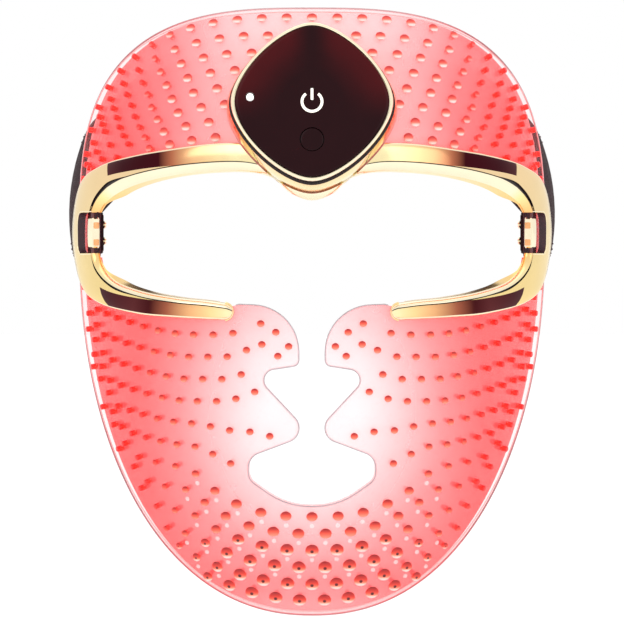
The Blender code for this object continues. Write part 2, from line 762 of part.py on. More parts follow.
def make_clip(side, mirrored):
    gilt = finish(f"gilt_clip_{side}", (0.87, 0.7, 0.48), 0.15, metallic=1.0)
    brass = finish(f"rivet_brass_{side}", (0.85, 0.4, 0.1), 0.25, metallic=1.0)
    webbing = finish(f"strap_webbing_{side}", (0.12, 0.02, 0.03), 0.8)
    pivot = clip_place(PIN_BACK, PIN_OUT, 0.0)
    flip = Vector((-1.0 if mirrored else 1.0, 1.0, 1.0))
    hinge = make_empty(f"clip_hinge_{side}", pivot * flip)
    outlines = [clip_outline(0.3), clip_outline(0.0), clip_outline(0.0), clip_outline(0.5)]
    name = f"strap_clip_{side}"
    clip = placed_prism(name, outlines, (0.2, 0.5, 2.8, 3.3), gilt, pivot, mirrored, hinge)
    bore = prism(f"cutter_clip_bore_{side}", circle(PIN_HOLE_RADIUS, 12), -7.0, 7.0, parent=hinge)
    cut(clip, bore)
    tab = make_tab(side, pivot, webbing, mirrored, hinge)
    for level, z in (("upper", RIVET_HEIGHT), ("lower", -RIVET_HEIGHT)):
        hole_rings = [circle(1.1, 12, (RIVET_BACK, z))] * 2
        name = f"cutter_rivet_{side}_{level}"
        hole = placed_prism(name, hole_rings, (-8.0, 8.0), None, pivot, mirrored, hinge)
        cut(clip, hole)
        cut(tab, hole)
        radii = (1.4, 1.4, 0.8, 0.8, 1.4, 1.4)
        rings = [circle(radius, 12, (RIVET_BACK, z)) for radius in radii]
        levels = (-4.2, -3.7, -3.7, 3.6, 3.6, 4.1)
        name = f"clip_rivet_{side}_{level}"
        placed_prism(name, rings, levels, brass, pivot, mirrored, hinge)
    steel = finish(f"pin_steel_{side}", (0.75, 0.72, 0.68), 0.25, metallic=1.0)
    outline = circle(PIN_RADIUS, 12, (pivot.x, pivot.y))
    low, high = -PIN_HALF_LENGTH, PIN_HALF_LENGTH
    prism(f"strap_pin_{side}", outline, low, high, steel, mirrored=mirrored)


def make_tab(side, pivot, webbing, mirrored, hinge):
    """The strap's end, riveted behind the clip."""
    half = TAB_HALF_HEIGHT
    sections = []
    for near, far in zip(*ribbon_sides(curve_points(TAB_ROUTE, 2), TAB_THICKNESS)):
        ring = [(*near, -half), (*near, half), (*far, half), (*far, -half)]
        sections.append([Vector(place) - pivot for place in ring])
    return make_object(f"strap_tab_{side}", *skinned(sections), webbing, hinge, mirrored)


def make_band():
    """The wide band round the head, from one clip's tab to the other's."""
    webbing = finish("band_webbing", (0.12, 0.02, 0.03), 0.8)
    right = curve_points(BAND_ROUTE, 2)
    route = right + [(-x, y) for x, y in reversed(right[:-1])]
    inner, outer = ribbon_sides(route, BAND_THICKNESS)
    sections = []
    for (x, y), near, far in zip(route, inner, outer):
        through = Vector((far[0] - near[0], far[1] - near[1], 0.0)) / 2
        grown = smooth_step((y - 20.0) / 30.0)
        half = TAB_HALF_HEIGHT + BAND_GROWTH * grown
        rise = BAND_RISE * (y - BAND_ROUTE[0][1]) * smooth_step((y - 14.0) / 40.0)
        rise += BAND_LIFT * smooth_step((y - 88.0) / 30.0)
        face = []
        for share in (-1.0, -0.4, 0.3, 1.0):
            height = share * half
            curl = -BAND_CURL * grown * (height - BAND_BELLY) ** 2
            face.append(Vector((x, y, rise + height)) + through.normalized() * curl)
        sections.append([p + through for p in face] + [p - through for p in reversed(face)])
    make_object("strap_band", *skinned(sections), webbing)


# ---- The whole mask ------------------------------------------------------------------------


def main():
    for obj in list(bpy.data.objects):
        bpy.data.objects.remove(obj, do_unlink=True)
    unit = make_empty("control_unit_axis", UNIT_CENTRE, math.pi / 2 - UNIT_TILT)
    bpy.context.view_layer.update()
    make_sheets(unit)
    make_frame(unit)
    make_casing(unit)
    make_face(unit)
    make_electronics(unit)
    make_clip("left", mirrored=True)
    make_clip("right", mirrored=False)
    make_band()


main()
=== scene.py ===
import math

import bmesh
import bpy
import numpy as np
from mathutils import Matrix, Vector
from mathutils.geometry import delaunay_2d_cdt, intersect_point_line


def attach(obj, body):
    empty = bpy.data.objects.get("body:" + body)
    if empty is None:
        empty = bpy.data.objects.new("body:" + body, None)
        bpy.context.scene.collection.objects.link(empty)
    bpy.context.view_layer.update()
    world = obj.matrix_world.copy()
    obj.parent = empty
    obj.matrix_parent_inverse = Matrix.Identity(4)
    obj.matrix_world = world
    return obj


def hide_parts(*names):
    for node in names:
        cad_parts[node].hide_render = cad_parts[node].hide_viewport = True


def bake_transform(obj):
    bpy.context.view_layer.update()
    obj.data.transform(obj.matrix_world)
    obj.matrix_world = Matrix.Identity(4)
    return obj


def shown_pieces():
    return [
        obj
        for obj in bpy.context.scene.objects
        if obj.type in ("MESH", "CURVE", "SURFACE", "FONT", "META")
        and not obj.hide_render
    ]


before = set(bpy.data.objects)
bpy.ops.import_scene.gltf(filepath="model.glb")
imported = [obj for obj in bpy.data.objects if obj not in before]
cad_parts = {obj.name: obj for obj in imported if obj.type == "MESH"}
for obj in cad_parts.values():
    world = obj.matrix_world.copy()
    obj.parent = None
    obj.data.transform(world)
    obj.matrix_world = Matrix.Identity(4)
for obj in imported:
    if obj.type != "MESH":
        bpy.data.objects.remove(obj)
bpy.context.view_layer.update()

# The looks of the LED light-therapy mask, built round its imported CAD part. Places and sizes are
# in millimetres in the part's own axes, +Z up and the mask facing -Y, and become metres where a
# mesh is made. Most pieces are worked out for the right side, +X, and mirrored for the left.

MM = 0.001

# The mask's outline and the bowl that every sheet and frame follows.
HALF_WIDTH = 83.0
TOP_HEIGHT = 79.2
CHIN_DEPTH = 135.1
UPPER_SQUARENESS = 3.0
LOWER_SQUARENESS = 2.2
FRONT_Y = -45.0
BOWL_DEPTH = 76.0
BOWL_HALF_WIDTH = 85.0
BOWL_RISE = 107.0
BOWL_FALL = 165.0
BOWL_ROUNDNESS = 2.3
BOWL_FALL_OFF = 2.8
SKIN = (0.0, -1.2)
LINER = (-2.1, -3.3)
SHEET_PITCH = 2.7
NOSE_AND_MOUTH = (
    (25.5, -25.4, 0.0),
    (4.7, -26.2, 16.5),
    (4.7, -46.7, 2.2),
    (21.1, -49.2, 4.0),
    (0.9, -70.8, 5.0),
    (22.5, -78.9, 5.5),
    (22.5, -87.0, 5.0),
    (9.0, -96.5, 26.0),
)

# The gilt frame on the right: its window edge and outer edge, each as x, z.
FRAME_EDGES = (
    ((0.0, 11.2), (0.0, 25.0)),
    ((7.5, 13.7), (10.0, 27.5)),
    ((14.0, 19.2), (19.5, 30.4)),
    ((22.5, 21.2), (27.0, 31.2)),
    ((34.0, 21.2), (36.5, 30.8)),
    ((48.0, 19.8), (48.5, 29.2)),
    ((60.4, 16.9), (61.5, 27.0)),
    ((68.8, 13.0), (73.0, 23.6)),
    ((73.8, 7.8), (80.4, 17.0)),
    ((75.3, 0.0), (83.0, 0.0)),
    ((74.0, -10.0), (80.3, -17.2)),
    ((68.6, -16.8), (74.0, -24.6)),
    ((59.0, -20.6), (60.5, -28.6)),
    ((47.0, -22.8), (47.5, -29.9)),
    ((37.0, -23.8), (37.0, -30.5)),
    ((30.5, -24.7), (30.5, -30.8)),
)
FRAME_SPAN = len(FRAME_EDGES) - 1
FRAME_STATIONS = 10
TIP_LENGTH = 3.1
SHEET_EDGE = 1.8
TEMPLE_SHEET_EDGE = 6.0
UPPER_LIP = 3.4
TEMPLE_LIP = 1.4
LOWER_LIP = 1.6
FLANGE_DEPTH = -3.6
FLANGE_STOP = 0.3
TEMPLE_PLACES = (7.25, 10.75)
NOTCH_HALF_HEIGHT = 7.2
NOTCH_REAR = 1.0
NOTCH_CORNER = 3.5
SHEET_NOTCH_HALF_HEIGHT = 8.7
SHEET_NOTCH_REAR = 2.5

# The clip on the right: a point of the bowl, and its directions back along it and outwards.
CLIP_FOOT = Vector((76.5, -7.4, 0.0))
CLIP_BACK = Vector((0.438, 0.899, 0.0))
CLIP_OUT = Vector((0.899, -0.438, 0.0))
CLIP_HALF_HEIGHT = 5.4
CLIP_REACH = 4.1
PIN_BACK = -1.4
PIN_OUT = 1.75
PIN_HOLE_RADIUS = 0.9
RIVET_BACK = 1.6
RIVET_HEIGHT = 2.9

# The strap: plan points of the tab on the right and of the band's right half, as x, y.
STRAP_ROUTE = (
    (74.5, -7.6),
    (75.1, -5.6),
    (75.6, -2.0),
    (75.5, 6.0),
    (75.4, 12.0),
    (75.5, 18.4),
    (78.4, 26.0),
    (82.8, 38.0),
    (86.3, 54.0),
    (85.8, 72.0),
    (79.6, 92.0),
    (64.5, 111.0),
    (39.0, 124.0),
    (0.0, 129.0),
)
TAB_HALF_HEIGHT = 6.7
STRAP_THICKNESS = 1.6
BAND_START_Y = 18.4
BAND_GROWTH = 12.5
BAND_RISE = 0.34
BAND_LIFT = 9.0
BAND_BELLY = -7.0
BAND_CURL = 0.0076

# The control unit. Its own axes are u, right, v, up along the forehead, and w, outwards.
UNIT_CENTRE = Vector((0.0, -41.9, 43.3))
UNIT_TILT = math.radians(12.1)
UNIT_RADIUS = 30.0
UNIT_SQUARENESS = 1.5
UNIT_CORNER = 0.02
FRAME_CUT_RADIUS = 30.4
FLANGE_CUT_RADIUS = 28.4
SKIN_HOLE_RADIUS = 22.0
BUTTON_V = -13.8
LIGHT_U, LIGHT_V = -21.7, 1.5
RIM_POINTS = 128


# ---- The bowl ------------------------------------------------------------------------------


def bowl_y(x, z):
    """The y of the mask's outer face at a place seen from the front."""
    rise = BOWL_RISE if z > 0 else BOWL_FALL
    across = (abs(x) / BOWL_HALF_WIDTH) ** BOWL_ROUNDNESS
    along = (abs(z) / rise) ** BOWL_ROUNDNESS
    reach = min((across + along) ** (1 / BOWL_ROUNDNESS), 0.999)
    return FRONT_Y + BOWL_DEPTH * (1 - math.sqrt(1 - reach**BOWL_FALL_OFF))


def bowl_normal(x, z):
    step = 0.05
    slope_x = (bowl_y(x + step, z) - bowl_y(x - step, z)) / (2 * step)
    slope_z = (bowl_y(x, z + step) - bowl_y(x, z - step)) / (2 * step)
    return Vector((slope_x, -1.0, slope_z)).normalized()


def on_bowl(x, z, height=0.0):
    """The point at a height above the mask's outer face."""
    return Vector((x, bowl_y(x, z), z)) + bowl_normal(x, z) * height


def outline_point(angle):
    """The mask's outline at an angle round the origin, seen from the front."""
    cosine = math.cos(angle)
    sine = math.sin(angle)
    height, power = (TOP_HEIGHT, UPPER_SQUARENESS) if sine > 0 else (CHIN_DEPTH, LOWER_SQUARENESS)
    reach = (abs(cosine) / HALF_WIDTH) ** power + (abs(sine) / height) ** power
    radius = reach ** (-1 / power)
    return radius * cosine, radius * sine


def outline_x(z):
    """The outline's half width at a height."""
    height, power = (TOP_HEIGHT, UPPER_SQUARENESS) if z > 0 else (CHIN_DEPTH, LOWER_SQUARENESS)
    return HALF_WIDTH * max(0.0, 1 - min(1.0, abs(z) / height) ** power) ** (1 / power)


# ---- Curves --------------------------------------------------------------------------------


def smooth_step(value):
    value = min(max(value, 0.0), 1.0)
    return value * value * (3 - 2 * value)


def mix(first, last, share):
    return first + (last - first) * share


def smooth_curve(points, place):
    """A Catmull-Rom curve through the points; place runs from 0 to the last point's number."""
    number = max(0, min(int(place), len(points) - 2))
    share = place - number
    before = points[max(number - 1, 0)]
    start = points[number]
    end = points[number + 1]
    after = points[min(number + 2, len(points) - 1)]
    found = []
    for a, b, c, d in zip(before, start, end, after):
        slope = c - a
        bend = 2 * a - 5 * b + 4 * c - d
        twist = 3 * b - a - 3 * c + d
        found.append(b + 0.5 * share * (slope + share * (bend + share * twist)))
    return tuple(found)


def rounded_corner(before, corner, after, radius, step=math.radians(7)):
    """The points of the arc that rounds a corner, or the corner itself."""
    if radius == 0:
        return [tuple(corner)]
    back = (before - corner).normalized()
    ahead = (after - corner).normalized()
    half = back.angle(ahead) / 2
    centre = corner + (back + ahead).normalized() * (radius / math.sin(half))
    start = corner + back * (radius / math.tan(half)) - centre
    turn = start.angle_signed(corner + ahead * (radius / math.tan(half)) - centre)
    count = max(2, round(abs(turn) / step))
    arc = []
    for number in range(count + 1):
        spin = -turn * number / count
        x = centre.x + start.x * math.cos(spin) - start.y * math.sin(spin)
        y = centre.y + start.x * math.sin(spin) + start.y * math.cos(spin)
        arc.append((x, y))
    return arc


def rounded_outline(corners):
    """A closed outline whose corners, given as x, y, radius, are rounded."""
    outline = []
    for number, (x, y, radius) in enumerate(corners):
        before = Vector(corners[number - 1][:2])
        after = Vector(corners[(number + 1) % len(corners)][:2])
        outline += rounded_corner(before, Vector((x, y)), after, radius)
    return outline


def spread(loop, pitch):
    """The closed loop with points added so that none are further apart than the pitch."""
    found = []
    for start, end in zip(loop, loop[1:] + loop[:1]):
        gap = math.dist(start, end)
        if gap < 1e-4:
            continue
        count = max(1, math.ceil(gap / pitch))
        for number in range(count):
            share = number / count
            found.append(tuple(mix(a, b, share) for a, b in zip(start, end)))
    return found


def circle(radius, count=RIM_POINTS, centre=(0.0, 0.0)):
    turns = [2 * math.pi * number / count for number in range(count)]
    return [(centre[0] + radius * math.cos(t), centre[1] + radius * math.sin(t)) for t in turns]


def diamond(radius, count=RIM_POINTS):
    """The control unit's outline: a square on its corner with soft sides and corners."""
    half_power = UNIT_SQUARENESS / 2
    on_axis = (1 + UNIT_CORNER) ** half_power + UNIT_CORNER**half_power
    outline = []
    for u, v in circle(1.0, count):
        reach = (u * u + UNIT_CORNER) ** half_power + (v * v + UNIT_CORNER) ** half_power
        scale = radius * (on_axis / reach) ** (1 / UNIT_SQUARENESS)
        outline.append((u * scale, v * scale))
    return outline


def rounded_box(half_u, half_v, radius, centre=(0.0, 0.0)):
    u, v = centre
    corners = [(u - half_u, v - half_v), (u + half_u, v - half_v)]
    corners += [(u + half_u, v + half_v), (u - half_u, v + half_v)]
    return rounded_outline([(*corner, radius) for corner in corners])


def unit_point(u, v, w):
    """A place on the control unit, in the mask's axes."""
    sine = math.sin(UNIT_TILT)
    cosine = math.cos(UNIT_TILT)
    return UNIT_CENTRE + Vector((u, v * sine - w * cosine, v * cosine + w * sine))


def unit_w(u, v, offset=0.0):
    """The w of the mask's outer face, plus an offset, at a place on the control unit."""
    sine = math.sin(UNIT_TILT)
    cosine = math.cos(UNIT_TILT)
    w = 0.0
    for _ in range(12):
        z = UNIT_CENTRE.z + v * cosine + w * sine
        w = (UNIT_CENTRE.y + v * sine - bowl_y(u, z)) / cosine
    return w + offset


def skirt(offset):
    """A level that follows the mask's outer face."""
    return lambda u, v: unit_w(u, v, offset)


# ---- Meshes --------------------------------------------------------------------------------


def skinned(rings, closed=False):
    """Points and faces of a solid with the rings as its sections; a one-point ring is a tip."""
    points = []
    starts = []
    for ring in rings:
        starts.append(len(points))
        points += [tuple(point) for point in ring]
    faces = []
    pairs = list(zip(range(len(rings)), range(1, len(rings))))
    if closed:
        pairs.append((len(rings) - 1, 0))
    for first, second in pairs:
        count = max(len(rings[first]), len(rings[second]))
        for number in range(count):
            after = (number + 1) % count
            corners = [starts[first] + number, starts[first] + after]
            corners += [starts[second] + after, starts[second] + number]
            if len(rings[first]) == 1:
                corners = [starts[first], corners[2], corners[3]]
            if len(rings[second]) == 1:
                corners = [corners[0], corners[1], starts[second]]
            faces.append(corners)
    if not closed:
        for start, ring in ((starts[0], rings[0]), (starts[-1], rings[-1])):
            if len(ring) > 2:
                faces.append([start + number for number in range(len(ring))])
    return points, faces


def build(name, points, faces, materials, body, slot, mirrored=False, angle=35.0):
    """A piece of the mask from points in millimetres. It rides on a body unless body is None."""
    flip = -1.0 if mirrored else 1.0
    mesh = bpy.data.meshes.new(name)
    mesh.from_pydata([(flip * p[0] * MM, p[1] * MM, p[2] * MM) for p in points], [], faces)
    mesh.validate()
    obj = bpy.data.objects.new(name, mesh)
    bpy.context.scene.collection.objects.link(obj)
    outward(mesh)
    mesh.shade_smooth()
    mesh.set_sharp_from_angle(angle=math.radians(angle))
    for material in materials if isinstance(materials, (list, tuple)) else [materials]:
        mesh.materials.append(material)
    if body:
        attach(obj, body)
    return obj


def outward(mesh):
    """Turns every face of a closed mesh outwards."""
    maker = bmesh.new()
    maker.from_mesh(mesh)
    bmesh.ops.recalc_face_normals(maker, faces=maker.faces[:])
    maker.to_mesh(mesh)
    maker.free()


def cutter(name, points, faces):
    mesh = bpy.data.meshes.new(name)
    mesh.from_pydata([(p[0] * MM, p[1] * MM, p[2] * MM) for p in points], [], faces)
    outward(mesh)
    obj = bpy.data.objects.new(name, mesh)
    bpy.context.scene.collection.objects.link(obj)
    return obj


def prism_cutter(name, outline, low, high, axis="z", mirrored=False):
    """A cutter of one outline, from low to high along an axis; axis w is the control unit's."""
    where = "xyzw".index(axis)
    flip = -1.0 if mirrored else 1.0
    rings = []
    for end in (low, high):
        if axis == "w":
            rings.append([unit_point(u, v, end) for u, v in outline])
        else:
            ring = [(*place[:where], end, *place[where:]) for place in outline]
            rings.append([(flip * x, y, z) for x, y, z in ring])
    return cutter(name, *skinned(rings))


def cut(target, *cutters):
    """Cuts the solids from the target for good, and removes them."""
    for tool in cutters:
        modifier = target.modifiers.new(tool.name, "BOOLEAN")
        modifier.operation = "DIFFERENCE"
        modifier.solver = "EXACT"
        modifier.object = tool
    graph = bpy.context.evaluated_depsgraph_get()
    made = bpy.data.meshes.new_from_object(target.evaluated_get(graph))
    old = target.data
    target.modifiers.clear()
    target.data = made
    bpy.data.meshes.remove(old)
    for tool in cutters:
        bpy.data.objects.remove(tool, do_unlink=True)
    made.shade_smooth()
    made.set_sharp_from_angle(angle=math.radians(32))


def turned_rings(rows):
    """Rings round w. Each row is an outline and its w, a number or a function of u, v."""
    rings = []
    for outline, level in rows:
        if not outline:
            rings.append([unit_point(0.0, 0.0, level)])
        elif callable(level):
            rings.append([unit_point(u, v, level(u, v)) for u, v in outline])
        else:
            rings.append([unit_point(u, v, level) for u, v in outline])
    return rings


def turned(name, rows, materials, body, slot, closed=False):
    return build(name, *skinned(turned_rings(rows), closed), materials, body, slot)


def tube(points, normals, radius, sides=8, closed=True):
    """Points and faces of a round bead along a line."""
    rings = []
    count = len(points)
    for number, point in enumerate(points):
        before = points[number - 1] if closed or number else point
        after = points[(number + 1) % count] if closed or number + 1 < count else point
        ahead = (after - before).normalized()
        across = ahead.cross(normals[number]).normalized()
        up = across.cross(ahead).normalized()
        turns = [2 * math.pi * n / sides for n in range(sides)]
        rings.append([point + (across * math.cos(t) + up * math.sin(t)) * radius for t in turns])
    return skinned(rings, closed)


class Batch:
    """Many small shapes gathered into one piece, with a colour at every point."""

    def __init__(self):
        self.points = []
        self.faces = []
        self.colours = []

    def add(self, points, faces, colours=()):
        start = len(self.points)
        self.points += [tuple(point) for point in points]
        self.faces += [[start + number for number in face] for face in faces]
        self.colours += colours

    def build(self, name, material, body, slot, angle=50.0):
        obj = build(name, self.points, self.faces, material, body, slot, angle=angle)
        paint(obj, self.colours)
        return obj


def paint(obj, colours, name="tone"):
    layer = obj.data.color_attributes.new(name, "FLOAT_COLOR", "POINT")
    flat = np.array([(*colour[:3], 1.0) for colour in colours], np.float32).ravel()
    layer.data.foreach_set("color", flat)


# ---- Materials -----------------------------------------------------------------------------


class Shader:
    """A Principled material with short ways to add nodes."""

    def __init__(self, name, colour=(0.8, 0.8, 0.8), **values):
        self.material = bpy.data.materials.new(name)
        self.material.use_nodes = True
        self.nodes = self.material.node_tree.nodes
        self.links = self.material.node_tree.links
        self.bsdf = self.nodes["Principled BSDF"]
        self.set("Base Color", (*colour, 1.0))
        for key, value in values.items():
            self.set(key.replace("_", " "), value)

    def set(self, socket, value):
        self.bsdf.inputs[socket].default_value = value

    def join(self, output, socket):
        self.links.new(output, self.bsdf.inputs[socket])

    def node(self, kind, **values):
        node = self.nodes.new(kind)
        for key, value in values.items():
            if hasattr(node, key):
                setattr(node, key, value)
            else:
                node.inputs[key.replace("_", " ")].default_value = value
        return node

    def place(self, scale=1.0):
        """Object coordinates, so many to the metre."""
        texture = self.node("ShaderNodeTexCoord")
        mapping = self.node("ShaderNodeMapping")
        size = scale if isinstance(scale, tuple) else (scale, scale, scale)
        mapping.inputs["Scale"].default_value = size
        self.links.new(texture.outputs["Object"], mapping.inputs["Vector"])
        return mapping.outputs["Vector"]

    def noise(self, scale, detail=3.0, where=None):
        node = self.node("ShaderNodeTexNoise", Scale=scale, Detail=detail)
        self.links.new(where or self.place(), node.inputs["Vector"])
        return node.outputs["Fac"]

    def math(self, operation, first, second=0.0):
        node = self.node("ShaderNodeMath", operation=operation)
        for socket, value in zip(node.inputs, (first, second)):
            if isinstance(value, (int, float)):
                socket.default_value = value
            else:
                self.links.new(value, socket)
        return node.outputs[0]

    def ramp(self, fac, stops, ease="LINEAR"):
        node = self.node("ShaderNodeValToRGB")
        node.color_ramp.interpolation = ease
        elements = node.color_ramp.elements
        while len(elements) < len(stops):
            elements.new(0.5)
        for element, (place, colour) in zip(elements, stops):
            element.position = place
            element.color = (*colour, 1.0) if isinstance(colour, tuple) else (colour,) * 3 + (1.0,)
        self.links.new(fac, node.inputs["Fac"])
        return node.outputs["Color"]

    def blend(self, fac, first, second, mode="MIX"):
        node = self.node("ShaderNodeMix", data_type="RGBA", blend_type=mode)
        sockets = {"Factor": node.inputs[0], "A": node.inputs[6], "B": node.inputs[7]}
        for key, value in (("Factor", fac), ("A", first), ("B", second)):
            if isinstance(value, tuple):
                sockets[key].default_value = (*value, 1.0)
            elif isinstance(value, (int, float)):
                sockets[key].default_value = value
            else:
                self.links.new(value, sockets[key])
        return node.outputs[2]

    def attribute(self, name):
        node = self.node("ShaderNodeVertexColor")
        node.layer_name = name
        return node.outputs["Color"]

    def bump(self, height, strength, distance=0.0002):
        node = self.node("ShaderNodeBump", Strength=strength, Distance=distance)
        self.links.new(height, node.inputs["Height"])
        self.join(node.outputs["Normal"], "Normal")

    def worn(self, colour, scale, depth, roughness, spread_by, bump):
        """A colour with faint variation, uneven gloss and a fine surface."""
        fac = self.noise(scale)
        dark = tuple(part * (1 - depth) for part in colour)
        light = tuple(min(1.0, part * (1 + depth)) for part in colour)
        self.join(self.ramp(fac, ((0.3, dark), (0.7, light))), "Base Color")
        rough = self.ramp(fac, ((0.3, roughness - spread_by / 2), (0.7, roughness + spread_by / 2)))
        self.join(rough, "Roughness")
        if bump:
            self.bump(self.noise(scale * 9), bump)
        return self


def plain(name, colour, scale, depth, roughness, spread_by, bump, **values):
    shader = Shader(name, colour, **values)
    return shader.worn(colour, scale, depth, roughness, spread_by, bump).material


SKIN_TONES = (
    (0.0, (0.98, 0.84, 0.85)),
    (0.25, (1.0, 0.56, 0.57)),
    (0.55, (1.0, 0.27, 0.28)),
    (0.8, (1.0, 0.12, 0.125)),
    (1.0, (1.0, 0.05, 0.05)),
)


def silicone(name, opacity, glow):
    """Clear silicone, pink where the light spreads; the veil, the second channel of the layer named
    tone, makes it more opaque.
    """
    shader = Shader(name, Roughness=0.3, Coat_Weight=0.12, Coat_Roughness=0.18, IOR=1.41)
    shader.set("Specular IOR Level", 0.3)
    parts = shader.node("ShaderNodeSeparateColor")
    shader.links.new(shader.attribute("tone"), parts.inputs[0])
    cloud = shader.math("MULTIPLY", shader.math("SUBTRACT", shader.noise(38.0), 0.5), 0.06)
    fac = shader.math("ADD", parts.outputs[0], cloud)
    colour = shader.ramp(fac, SKIN_TONES)
    shader.join(colour, "Base Color")
    shader.join(colour, "Emission Color")
    shader.set("Emission Strength", glow)
    low, high = opacity
    veil = shader.math("MULTIPLY", parts.outputs[1], high - low)
    shader.join(shader.math("ADD", veil, low), "Alpha")
    rough = shader.ramp(shader.noise(420.0), ((0.3, 0.24), (0.7, 0.36)))
    shader.join(rough, "Roughness")
    shader.bump(shader.noise(1500.0), 0.08, 0.0001)
    return shader.material


GOLD = (0.86, 0.62, 0.30)
PALE_GOLD = (0.95, 0.78, 0.48)
CREAM_GOLD = (0.97, 0.86, 0.62)
PAINTED_SHADE_BLACK_RED = (0.012, 0.003, 0.004)


def gilt(name, colour, roughness=0.16, **values):
    return plain(name, colour, 60.0, 0.04, roughness, 0.06, 0.02, Metallic=1.0, **values)


# Painted reflection on the frame's wide faces: dark maroon towards the temples, gold towards the
# middle.
BAND_REFLECTION_TONES = (
    (0.00, PALE_GOLD),
    (0.200, (0.98, 0.84, 0.46)),
    (0.242, (0.98, 0.72, 0.36)),
    (0.280, (0.90, 0.52, 0.25)),
    (0.310, (0.50, 0.16, 0.08)),
    (0.332, (0.055, 0.006, 0.010)),
    (0.395, (0.05, 0.008, 0.012)),
    (0.440, (0.10, 0.022, 0.024)),
    (0.480, (0.06, 0.010, 0.014)),
    (0.700, (0.06, 0.010, 0.014)),
    (0.745, (0.10, 0.022, 0.024)),
    (0.772, (0.055, 0.008, 0.010)),
    (0.800, (0.34, 0.10, 0.055)),
    (0.842, (0.80, 0.42, 0.19)),
    (0.890, (0.95, 0.66, 0.30)),
    (0.950, (0.96, 0.80, 0.45)),
    (1.0, PALE_GOLD),
)
# Painted reflection on the lip: cream over the eyes, orange at the temples.
LIP_REFLECTION_TONES = (
    (0.0, CREAM_GOLD),
    (0.435, CREAM_GOLD),
    (0.462, (0.98, 0.80, 0.36)),
    (0.512, (0.98, 0.54, 0.20)),
    (0.600, (0.95, 0.58, 0.22)),
    (0.650, (0.97, 0.80, 0.40)),
    (0.720, CREAM_GOLD),
    (1.0, CREAM_GOLD),
)
PLATE_TONES = (
    (0.40, (0.93, 0.68, 0.38)),
    (0.50, (0.92, 0.69, 0.35)),
    (0.60, (0.87, 0.66, 0.28)),
)
UPPER_BLOCK_END = 0.4356
LOWER_BLOCK_END = 0.650
BLOCK_SLANT = 0.0156
LOWER_BLOCK_SLANT = 0.0625


def strip_gilt(name, tones):
    """Gilt whose colour changes with the place along the frame. It returns the shader's parts.

    The layer named strip holds the place along the frame and the share across it.
    """
    shader = Shader(name, GOLD, Metallic=1.0, Roughness=0.14)
    where = shader.node("ShaderNodeUVMap", uv_map="strip")
    parts = shader.node("ShaderNodeSeparateXYZ")
    shader.links.new(where.outputs["UV"], parts.inputs[0])
    place, across = parts.outputs[:2]
    return shader, place, across, shader.ramp(place, tones)


def finish_gilt(shader, colour):
    cloud = shader.ramp(shader.noise(60.0), ((0.3, 0.94), (0.7, 1.0)))
    shader.join(shader.blend(1.0, colour, cloud, "MULTIPLY"), "Base Color")
    shader.join(shader.ramp(shader.noise(300.0), ((0.3, 0.12), (0.7, 0.20))), "Roughness")
    shader.bump(shader.noise(900.0), 0.02, 0.0001)
    return shader.material


def lip_gilt():
    """The raised lip round the window: cream over the eyes, with an orange painted reflection at
    the temples.
    """
    shader, _, _, colour = strip_gilt("gilt_lip", LIP_REFLECTION_TONES)
    return finish_gilt(shader, colour)


def banded_gilt():
    """The wide faces of the frame, with a painted reflection: dark towards the temples and gold
    towards the middle.

    The dark face ends at each temple in a slanted line, and a pale plate lies beyond it.
    """
    shader, place, across, band = strip_gilt("gilt_band", BAND_REFLECTION_TONES)
    slanted = shader.math("ADD", place, shader.math("MULTIPLY", across, BLOCK_SLANT))
    upper_end = shader.math("LESS_THAN", slanted, UPPER_BLOCK_END)
    slanted = shader.math("SUBTRACT", place, shader.math("MULTIPLY", across, LOWER_BLOCK_SLANT))
    lower_end = shader.math("GREATER_THAN", slanted, LOWER_BLOCK_END)
    foot = shader.math("MAXIMUM", shader.math("SUBTRACT", place, 0.3), 0.0)
    foot = shader.math("ADD", shader.math("MULTIPLY", foot, 1.9), 0.32)
    on_upper = shader.math("MULTIPLY", upper_end, shader.math("GREATER_THAN", across, foot))
    toe = shader.math("MAXIMUM", shader.math("SUBTRACT", 0.80, place), 0.0)
    toe = shader.math("ADD", shader.math("MULTIPLY", toe, 1.6), 0.22)
    on_lower = shader.math("MULTIPLY", lower_end, shader.math("GREATER_THAN", across, toe))
    in_block = shader.math("ADD", on_upper, on_lower)
    return finish_gilt(shader, shader.blend(in_block, shader.ramp(place, PLATE_TONES), band))


def toned_gilt(name, roughness):
    """Gilt whose colour comes from the layer named tone."""
    shader = Shader(name, GOLD, Metallic=1.0, Roughness=roughness)
    return finish_gilt(shader, shader.attribute("tone"))


def toned(name, glow, roughness, **values):
    """A material whose colour and glow come from the layer named tone."""
    shader = Shader(name, Roughness=roughness, **values)
    colour = shader.attribute("tone")
    cloud = shader.ramp(shader.noise(500.0), ((0.3, 0.93), (0.7, 1.0)))
    colour = shader.blend(1.0, colour, cloud, "MULTIPLY")
    shader.join(colour, "Base Color")
    shader.join(colour, "Emission Color")
    shader.set("Emission Strength", glow)
    shader.bump(shader.noise(2500.0), 0.05, 0.0001)
    return shader.material


